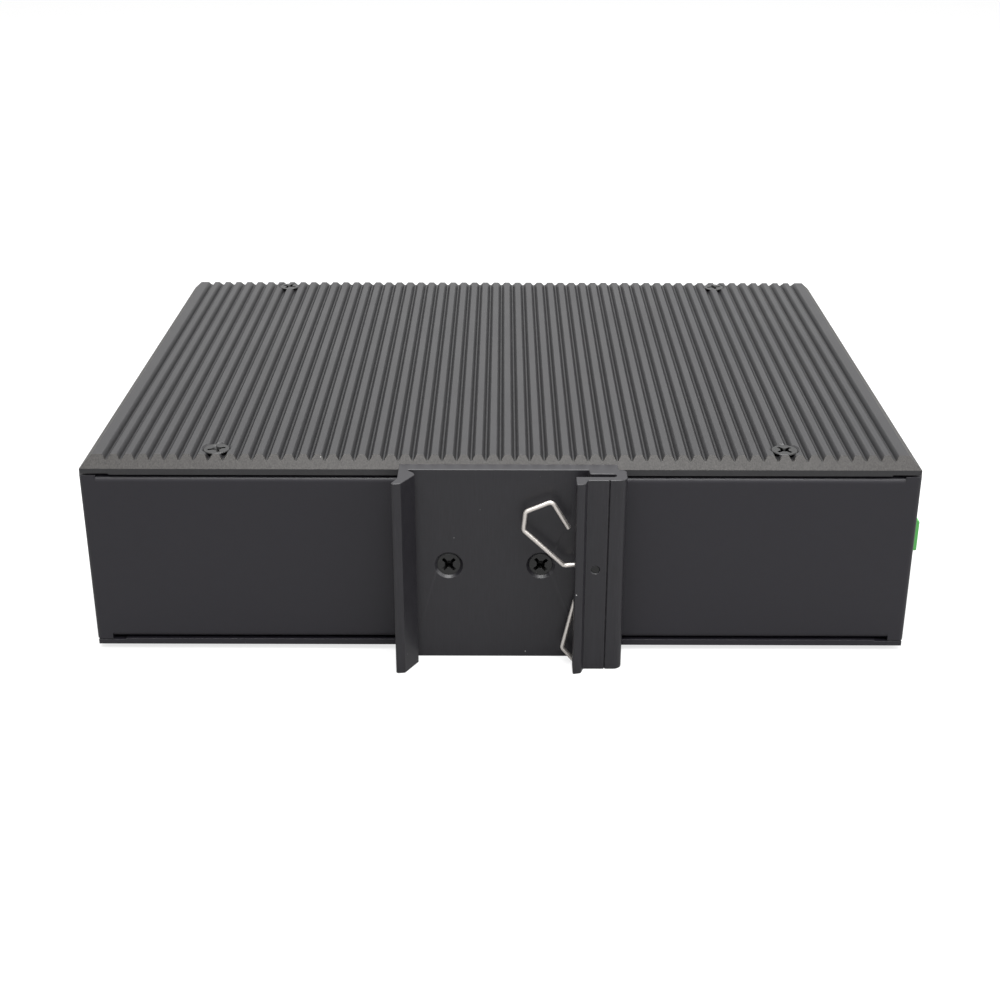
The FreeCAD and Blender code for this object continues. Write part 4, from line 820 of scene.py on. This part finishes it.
# ---------------------------------------------------------------- covers
@dataclass
class Covers:
    """The extruded upper cover and the screws of both covers."""

    length: float = 165.0
    depth: float = 125.0
    lip_level: float = 18.55
    wall_y: float = 2.7
    lip: float = 1.0
    bevel: float = 2.25
    tongue_drop: float = 0.25
    tongue_reach: float = 76.85
    rib_edge: float = 5.05
    grooves: int = 55
    mouth: float = 1.62
    floor: float = 0.3
    deep: float = 0.98
    screw_x: float = 56.3
    screw_inset: float = 5.5
    hole: float = 1.65
    sink: float = 3.0
    sunk: float = 0.15
    lower_sunk: float = 0.1
    turns: tuple[float, ...] = (20.0, 65.0, 40.0, 10.0)

    @property
    def tall(self) -> float:
        """Height of the upper cover from its lip's foot to the rib tops."""
        return self.lip + self.bevel

    def section(self) -> list[Pair]:
        """The extruded section, with the ribs' edges eased."""
        half, top, inner = self.length / 2, self.tall, self.tongue_reach
        pitch = (self.length - 2 * self.rib_edge) / (self.grooves - 1)
        outline = [(-half, 0.0), (-inner, 0.0), (-inner, -self.tongue_drop)]
        outline += [(inner, -self.tongue_drop), (inner, 0.0), (half, 0.0)]
        outline += [(half, self.lip), (half - self.bevel, top)]
        mouth, floor = self.mouth / 2, self.floor / 2
        notch = [(mouth + 0.1, 0.0), (mouth - 0.02, 0.06), (floor + 0.06, self.deep - 0.07)]
        notch += [(floor - 0.06, self.deep)]
        for index in reversed(range(self.grooves)):
            middle = pitch * (index - (self.grooves - 1) / 2)
            outline += [(middle + x, top - z) for x, z in notch]
            outline += [(middle - x, top - z) for x, z in reversed(notch)]
        return outline + [(-half + self.bevel, top), (-half, self.lip)]

    def screw_places(self) -> list[Pair]:
        """Where the screws stand, from the cover's rear edge."""
        ends = (self.screw_inset, self.depth - self.screw_inset)
        return [(sign * self.screw_x, y) for sign in (-1, 1) for y in ends]

    def build(self) -> None:
        """Build the upper cover and the screws of both."""
        plate = Blank.pulled(self.section(), 0.0, self.depth, Axis.Y)
        slope = math.sqrt(0.5)
        plate.trimmed((0.0, 0.0, self.lip), (0.0, -slope, slope))
        plate.trimmed((0.0, self.depth, self.lip), (0.0, slope, slope))
        cone = self.sink - self.hole
        profile = [(self.sink + 0.5, self.tall + 0.5), (self.sink, self.tall)]
        profile += [(self.hole, self.tall - cone), (self.hole, -2.0)]
        cutters = [Blank.turned(profile, place, Axis.Z, 48) for place in self.screw_places()]
        body = plate.without(*cutters).moved((0.0, self.wall_y, self.lip_level))
        piece = body.piece("upper_cover_ribs")
        install(piece, COVER_ANODISE, "upper_cover", 25.0)
        top = self.lip_level + self.tall - self.sunk
        foot = -self.lip_level - self.lip + self.lower_sunk
        lower = CrossScrew(head=2.3, length=4.75, recess=1.55)
        self.build_screws("upper_cover_screws", CrossScrew(length=6.95), Way.DOWN, top)
        self.build_screws("lower_cover_screws", lower, Way.UP, foot)

    def build_screws(self, node: str, screw: CrossScrew, way: Way, level: float) -> None:
        """Set the four screws of one cover, their faces at a level."""
        places = [
            ((x, y + self.wall_y, level), way, turn)
            for (x, y), turn in zip(self.screw_places(), self.turns)
        ]
        set_screws(node, screw, BLACK_OXIDE, places)


# ---------------------------------------------------------------- rail clip
@dataclass
class RailClip:
    """The extruded clip with its screws, wire spring and pin."""

    length: float = 41.4
    base: float = 2.7
    left: float = 19.75
    root: float = 18.06
    rail: float = 35.2
    hook: float = 7.1
    neck: float = 4.25
    flare: float = 1.1
    tip: float = 1.9
    barb: float = 1.56
    barb_low: float = 2.55
    barb_high: float = 0.85
    step: float = 1.93
    slot: float = 1.5
    lip: float = 1.7
    right: float = 24.4
    right_round: float = 2.1
    back: float = 1.5
    slot_end: float = 22.4
    toe_left: float = 14.55
    toe: float = 2.2
    toe_slant: float = 0.45
    score: float = 20.95
    score_half: float = 0.18
    score_deep: float = 0.3
    ease: float = 0.09
    screws: tuple[float, float] = (-10.24, 8.08)
    turns: tuple[float, float] = (45.0, 40.0)
    sunk: float = 0.45
    hole: float = 1.65
    sink: float = 2.88
    pin: Triple = (18.64, -2.68, 1.6)
    pin_radius: float = 0.78
    wire: float = 0.45
    wire_bend: float = 1.15
    pin_bend: float = 2.0
    wire_gap: float = 0.03
    spring_turn: float = 17.0
    spring_half: list[Pair] = field(
        default_factory=lambda: [
            (2.05, 3.68), (-5.85, 3.68), (-11.5, 13.67), (-9.9, 17.45), (-4.1, 18.07), (-2.7, 11.5),
        ]
    )

    @property
    def face(self) -> float:
        """Place of the jaw's outer face along Y."""
        return -self.step - self.slot - self.lip

    def section(self) -> list[Triple]:
        """Corners and fillets of the extruded section, from the wall round hook, seat and jaw."""
        root, slot_in, slot_out = -self.root, -self.step, -self.step - self.slot
        out, jaw = self.face, self.rail - self.root
        wing = -self.left - self.flare
        return [
            (-self.left, self.base, 0.15),
            (-self.left, -self.neck, 0.6),
            (wing, -self.hook + 0.32, 0.35),
            (wing + 0.44, -self.hook, 0.3),
            (wing + self.tip, -self.hook + 0.24, 0.2),
            (root + self.barb, -self.barb_low, 0.12),
            (root + 1.35, -1.65, 0.4),
            (root + 0.9, -1.08, 0.4),
            (root + 0.54, -self.barb_high, 0.15),
            (root, 0.0, 0.08),
            (jaw, 0.0, 0.1),
            (jaw + 0.19, slot_in, 0.2),
            (self.slot_end, slot_in, self.slot / 2),
            (self.slot_end, slot_out, self.slot / 2),
            (self.toe_left, slot_out, 0.12),
            (self.toe_left, out - self.toe, 0.3),
            (self.toe_left + 1.65, out - self.toe + self.toe_slant, 0.45),
            (self.toe_left + 2.2, out, 0.3),
            (self.score - self.score_half, out, 0.0),
            (self.score, out + self.score_deep, 0.0),
            (self.score + self.score_half, out, 0.0),
            (self.right, out, self.right_round),
            (self.right, 0.0, 1.45),
            (self.right - self.back, 0.0, 0.0),
            (self.right - self.back, self.base, 0.1),
        ]

    def build(self) -> None:
        """Build the clip and what it carries."""
        half = self.length / 2
        body = Blank.eased(self.section(), -half, half, Axis.Z, self.ease)
        cone = self.sink - self.hole
        profile = [(self.sink + 0.5, -0.5), (self.sink, 0.0), (self.hole, cone), (self.hole, 5.0)]
        cutters = [Blank.turned(profile, (x, 0.0), Axis.Y, 48) for x in self.screws]
        bore, out = self.pin_radius + 0.05, self.face
        profile = [(bore + 0.3, out - 0.3), (bore + 0.12, out), (bore, out + 0.12), (bore, 4.0)]
        cutters.append(Blank.turned(profile, (self.pin[0], self.pin[2]), Axis.Y, 32))
        piece = body.without(*cutters).piece("rail_clip_extrusion")
        install(piece, CLIP_ANODISE, "rail_clip", 30.0)
        screw = CrossScrew(head=2.42, length=5.45, recess=1.7)
        places = [
            ((x, self.sunk, 0.0), Way.FRONT, turn) for x, turn in zip(self.screws, self.turns)
        ]
        set_screws("clip_screws", screw, BLACK_OXIDE, places)
        self.build_spring()

    def build_spring(self) -> None:
        """Bend the wire spring round its pin."""
        drop = self.spring_half[0][1] - self.pin_radius - self.wire - self.wire_gap
        turn = math.radians(self.spring_turn)
        sides = self.spring_half[::-1] + [(x, -y) for x, y in self.spring_half]
        corners = []
        for x, y in sides:
            spot = Vector((x, 0.0, y - drop))
            spot.rotate(Matrix.Rotation(-turn, 3, "Y"))
            corners.append(spot + Vector(self.pin))
        bends = [self.wire_bend] * 4
        path = rounded_path(corners, bends + [self.pin_bend] * 2 + bends, 10)
        wire = tube("clip_spring_wire", path, self.wire)
        install(wire, SPRING_WIRE, "clip_spring", WIRE_ANGLE, "spring")


# ---------------------------------------------------------------- right end
@dataclass
class PowerPlug:
    """The plug's housing with its pole marks, wire funnels and slotted clamp screws."""

    rear: float = 24.1
    width: float = 24.26
    seat: float = 82.95
    face: float = 89.6
    nose: float = 74.75
    low: float = -8.27
    high: float = -0.67
    rim: float = 0.7
    side: float = 0.7
    chamfer: float = 0.8
    pitch: float = 3.81
    poles: int = 6
    wire_hole: float = 2.5
    hole_deep: float = 6.0
    screw_x: float = 86.225
    screw: float = 1.25
    mark_half: float = 0.16
    mark_deep: float = 0.25
    mark_top: float = 0.3

    @property
    def places(self) -> list[float]:
        """Each pole's place along Y."""
        first = self.rear + self.side + self.pitch / 2
        return [first + self.pitch * pole for pole in range(self.poles)]

    @property
    def middle(self) -> float:
        """Height of the wire holes."""
        return (self.low + self.high) / 2

    def section(self) -> list[Triple]:
        """Corners and fillets of the housing's section."""
        return [
            (self.nose, self.low + self.rim, 0.2),
            (self.seat, self.low + self.rim, 0.05),
            (self.seat, self.low, 0.1),
            (self.face, self.low, 0.3),
            (self.face, self.high - self.chamfer, 0.3),
            (self.face - self.chamfer, self.high, 0.3),
            (self.seat, self.high, 0.1),
            (self.seat, self.high - self.rim, 0.05),
            (self.nose, self.high - self.rim, 0.2),
        ]

    def build(self) -> None:
        """Build the housing and its screws."""
        end = self.rear + self.width
        body = Blank.eased(self.section(), self.rear, end, Axis.Y, 0.15)
        spans = ((self.rear - 1, self.rear + self.side), (end - self.side, end + 1))
        body = body.without(*[
            Blank.block((self.nose - 1, start, self.low - 1), (self.seat, stop, self.high + 1))
            for start, stop in spans
        ])
        body = body.without(*[self.funnel(y) for y in self.places])
        body = body.without(*[self.well(y) for y in self.places])
        piece = body.without(*self.marks()).piece("power_plug_housing")
        install(piece, TERMINAL_GREEN, "power_plug", 30.0, "plug")
        self.build_screws()

    def funnel(self, y: float) -> Blank:
        """One square wire entry with a flared mouth."""
        half = self.wire_hole / 2 * math.sqrt(2.0)
        mouth = half * 1.2
        profile = [(mouth, self.face + 0.5), (mouth, self.face)]
        profile += [(half, self.face - 0.5), (half, self.face - self.hole_deep)]
        return Blank.turned(profile, (y, self.middle), Axis.X, 4, 45.0)

    def well(self, y: float) -> Blank:
        """One round well for a clamp screw."""
        radius = self.screw + 0.1
        top = self.high
        profile = [(radius + 0.4, top + 0.2), (radius, top - 0.2), (radius, self.middle)]
        return Blank.turned(profile, (self.screw_x, y), Axis.Z, 32)

    def marks(self) -> list[Blank]:
        """Shallow grooves between the poles, over the face and the top."""
        cutters = []
        for first, second in zip(self.places, self.places[1:]):
            start, stop = ((first + second) / 2 + way * self.mark_half for way in (-1, 1))
            back, foot = self.face - self.mark_deep, self.high - self.mark_top
            spans = (back, self.face + 1, self.low - 1), (self.seat + 0.6, self.face - 0.5, foot)
            for inner, outer, low in spans:
                cutters.append(Blank.block((inner, start, low), (outer, stop, self.high + 1)))
        return cutters

    def build_screws(self) -> None:
        """Set the slotted clamp screws in their wells."""
        low, high = self.middle + self.wire_hole / 2 - 0.35, self.high - self.chamfer
        whole = Blank()
        for index, y in enumerate(self.places):
            profile = [(self.screw - 0.15, high), (self.screw, high - 0.15), (self.screw, low)]
            screw = Blank.turned(profile, (self.screw_x, y), Axis.Z, 32)
            slot = Blank.block((-2.0, -0.18, high - 0.6), (2.0, 0.18, high + 1))
            slot.changed(Matrix.Rotation(math.radians(25.0 + 47.0 * index), 4, "Z"))
            whole.joined(screw.without(slot.moved((self.screw_x, y, 0.0))))
        piece = whole.piece("plug_screws_slotted")
        install(piece, ZINC, "plug_screws", 35.0, "plug")


@dataclass
class EndFasteners:
    """The panel screws of both ends and the ground terminal."""

    end: float = 82.85
    panel_y: float = 122.2
    panel_z: float = 9.275
    panel_high: float = 1.5
    turns: tuple[float, ...] = (15.0, 50.0, 30.0, 70.0)
    ground: Pair = (62.0, -4.5)
    ground_high: float = 2.4
    washer: float = 4.6
    washer_bore: float = 2.1
    washer_thick: float = 0.9
    teeth: int = 18
    tooth: float = 0.7

    def build(self) -> None:
        """Build the panel screws, the ground screw and its toothed washer."""
        face = self.end + self.panel_high
        spots = [
            ((side * face, self.panel_y, z), way)
            for side, way in ((-1, Way.RIGHT), (1, Way.LEFT))
            for z in (-self.panel_z, self.panel_z)
        ]
        places = [(spot, way, turn) for (spot, way), turn in zip(spots, self.turns)]
        kind = CrossScrew(head=2.7, length=5.75, kind=Head.PAN, recess=1.7, recess_deep=1.0)
        set_screws("panel_screws", kind, BLACK_OXIDE, places)
        self.build_ground()

    def build_ground(self) -> None:
        """Build the ground terminal."""
        high = self.ground_high
        kind = CrossScrew(
            head=4.0, shank=2.0, length=6.45, kind=Head.PAN, head_high=high, recess=2.2,
            recess_wide=0.75, recess_deep=1.5,
        )
        spot = (self.end + self.washer_thick + high, *self.ground)
        set_screws("ground_screw", kind, ZINC, [(spot, Way.LEFT, 20.0)])
        y, z = self.ground
        outline = []
        for step in range(self.teeth * 4):
            radius = self.washer if step % 4 < 2 else self.washer - self.tooth
            angle = math.tau * (step + 0.25 * (step % 2)) / (self.teeth * 4)
            outline.append((y + radius * math.cos(angle), z + radius * math.sin(angle)))
        disc = Blank.pulled(outline, self.end, self.end + self.washer_thick, Axis.X)
        bore = [(self.washer_bore, self.end - 1), (self.washer_bore, self.end + 2)]
        ring = disc.without(Blank.turned(bore, self.ground, Axis.X, 32))
        install(ring.piece("ground_washer_toothed"), ZINC, "ground_washer", 30.0)


# ---------------------------------------------------------------- socket panel
@dataclass
class PanelDetail:
    """Contact springs in the jacks and domed lenses over the lights."""

    first: float = -8.905
    jack_pitch: float = 13.97
    columns: int = 4
    rows: tuple[float, float] = (9.8, -2.6)
    jack_tall: float = 6.8
    front: float = 128.5
    lines: int = 8
    line_pitch: float = 1.19
    wire: float = 0.13
    lights_x: float = 66.35
    light_low: float = -5.27
    light_pitch: float = 4.61
    lights: int = 5
    light_radius: float = 1.5
    light_sunk: float = 0.3
    light_deep: float = 3.8

    def build(self) -> None:
        """Build the springs and the lenses."""
        self.build_contacts()
        self.build_lenses()

    def contact(self, x: float, floor: float, side: int) -> list[Vector]:
        """One spring's path, from its hooked end near the mouth to the cavity's back."""
        spots = [(4.6, 0.25), (5.2, 0.75), (11.3, 3.0), (11.65, 2.5)]
        return [Vector((x, self.front - deep, floor + side * rise)) for deep, rise in spots]

    def build_contacts(self) -> None:
        """Bend the contact springs of every jack."""
        whole = Blank()
        for side, row in ((1, self.rows[0]), (-1, self.rows[1])):
            floor = row - side * self.jack_tall / 2
            for column in range(self.columns):
                middle = self.first + self.jack_pitch * column
                for line in range(self.lines):
                    x = middle + self.line_pitch * (line - (self.lines - 1) / 2)
                    path = rounded_path(self.contact(x, floor, side), [0.3, 0.15], 3)
                    spring = tube("contact_run", path, self.wire, 2)
                    whole.mesh.from_mesh(spring.data)
                    bpy.data.meshes.remove(spring.data)
        piece = whole.piece("port_contact_springs")
        install(piece, CONTACT_GOLD, "port_contacts", WIRE_ANGLE)

    def build_lenses(self) -> None:
        """Turn the domed lenses."""
        whole = Blank()
        top = self.front - self.light_sunk
        dome = [(0.0, 0.0), (0.35, 0.03), (0.68, 0.14), (0.9, 0.32), (1.0, 0.6)]
        profile = [(self.light_radius * wide, top - deep) for wide, deep in dome]
        profile.append((self.light_radius, self.front - self.light_deep))
        for index in range(self.lights):
            centre = (self.lights_x, self.light_low + self.light_pitch * index)
            whole.joined(Blank.turned(profile, centre, Axis.Y, 32))
        install(whole.piece("status_lenses_domed"), CLEAR_LENS, "status_lenses", 40.0)


# ---------------------------------------------------------------- studio
@dataclass
class Studio:
    """Floor, light and camera."""

    floor_level: float = -20.78
    camera_at: Triple = (0.53, -275.2, 137.6)
    pitch: float = 24.14
    yaw: float = 0.157
    roll: float = -0.08
    lens: float = 55.58
    sensor: float = 36.0
    floor_half: float = 4000.0
    floor_tone: float = 0.3
    floor_glow: float = 0.74
    surround_light: float = 0.5
    surround_seen: float = 1.0
    aim_at: Triple = (0.0, 40.0, 0.0)

    def build(self) -> None:
        """Set up the whole studio."""
        self.floor()
        self.world()
        self.lamps()
        self.camera()

    def floor(self) -> None:
        """A pale floor that keeps the object's shadow."""
        sheet, half = Blank(), self.floor_half
        spots = [Axis.Z.point(x * half, y * half, self.floor_level) for x, y in CORNERS]
        sheet.mesh.faces.new([sheet.mesh.verts.new(spot) for spot in spots])
        floor = sheet.piece("floor")
        made, tree, shader = new_material("pale_floor")
        path = tree.add("ShaderNodeLightPath")
        glow = tree.math("MULTIPLY", path.outputs["Is Camera Ray"], self.floor_glow)
        tone = (*[self.floor_tone] * 3, 1.0)
        tree.feed(shader, Base_Color=tone, Roughness=0.9)
        tree.feed(shader, Emission_Color=WHITE, Emission_Strength=glow)
        floor.data.materials.append(made)

    def world(self) -> None:
        """A white surround, seen as white and lighting the object softly."""
        world = bpy.data.worlds.new("white_studio")
        bpy.context.scene.world = world
        world.use_nodes = True
        tree = Tree(world.node_tree)
        path = tree.add("ShaderNodeLightPath")
        seen = tree.math("MAXIMUM", path.outputs["Is Camera Ray"], path.outputs["Is Glossy Ray"])
        seen = tree.math("MAXIMUM", seen, path.outputs["Is Transmission Ray"])
        strength = tree.add("ShaderNodeMapRange", Value=seen)
        tree.feed(strength, To_Min=self.surround_light, To_Max=self.surround_seen)
        surround = world.node_tree.nodes["Background"]
        tree.feed(surround, Color=WHITE, Strength=strength.outputs["Result"])

    def lamps(self) -> None:
        """Large soft lamps: above the rail side, from the right, and above the socket side."""
        self.lamp("key", (20.0, -250.0, 640.0), 480.0, 6.0)
        self.lamp("fill", (560.0, -280.0, 340.0), 380.0, 1.7)
        self.lamp("top", (0.0, 200.0, 700.0), 520.0, 4.0)

    def lamp(self, name: str, spot: Triple, size: float, power: float) -> None:
        """One square lamp that points at the object."""
        data = bpy.data.lights.new(name, "AREA")
        data.size = size * MM
        data.energy = power
        lamp = linked(name, data)
        lamp.location = Vector(spot) * MM
        aim = Vector(self.aim_at) * MM - lamp.location
        lamp.rotation_euler = aim.to_track_quat("-Z", "Y").to_euler()

    def camera(self) -> None:
        """The camera, facing the rail clip from above."""
        data = bpy.data.cameras.new("camera")
        data.sensor_width = self.sensor
        data.lens = self.lens
        data.clip_start = 0.01
        camera = linked("camera", data)
        camera.location = Vector(self.camera_at) * MM
        camera.rotation_euler = (
            math.radians(90.0 - self.pitch), math.radians(self.roll), math.radians(self.yaw),
        )
        bpy.context.scene.camera = camera


def main() -> None:
    """Dress the frame, build the fine pieces and set up the studio."""
    logging.basicConfig(level=logging.INFO, format="%(name)s: %(message)s")
    bpy.context.scene.view_settings.view_transform = "Standard"
    dress_frame()
    for assembly in (Covers(), RailClip(), PowerPlug(), EndFasteners(), PanelDetail(), Studio()):
        LOG.info("building %s", type(assembly).__name__)
        assembly.build()


if __name__ == "__main__":
    main()
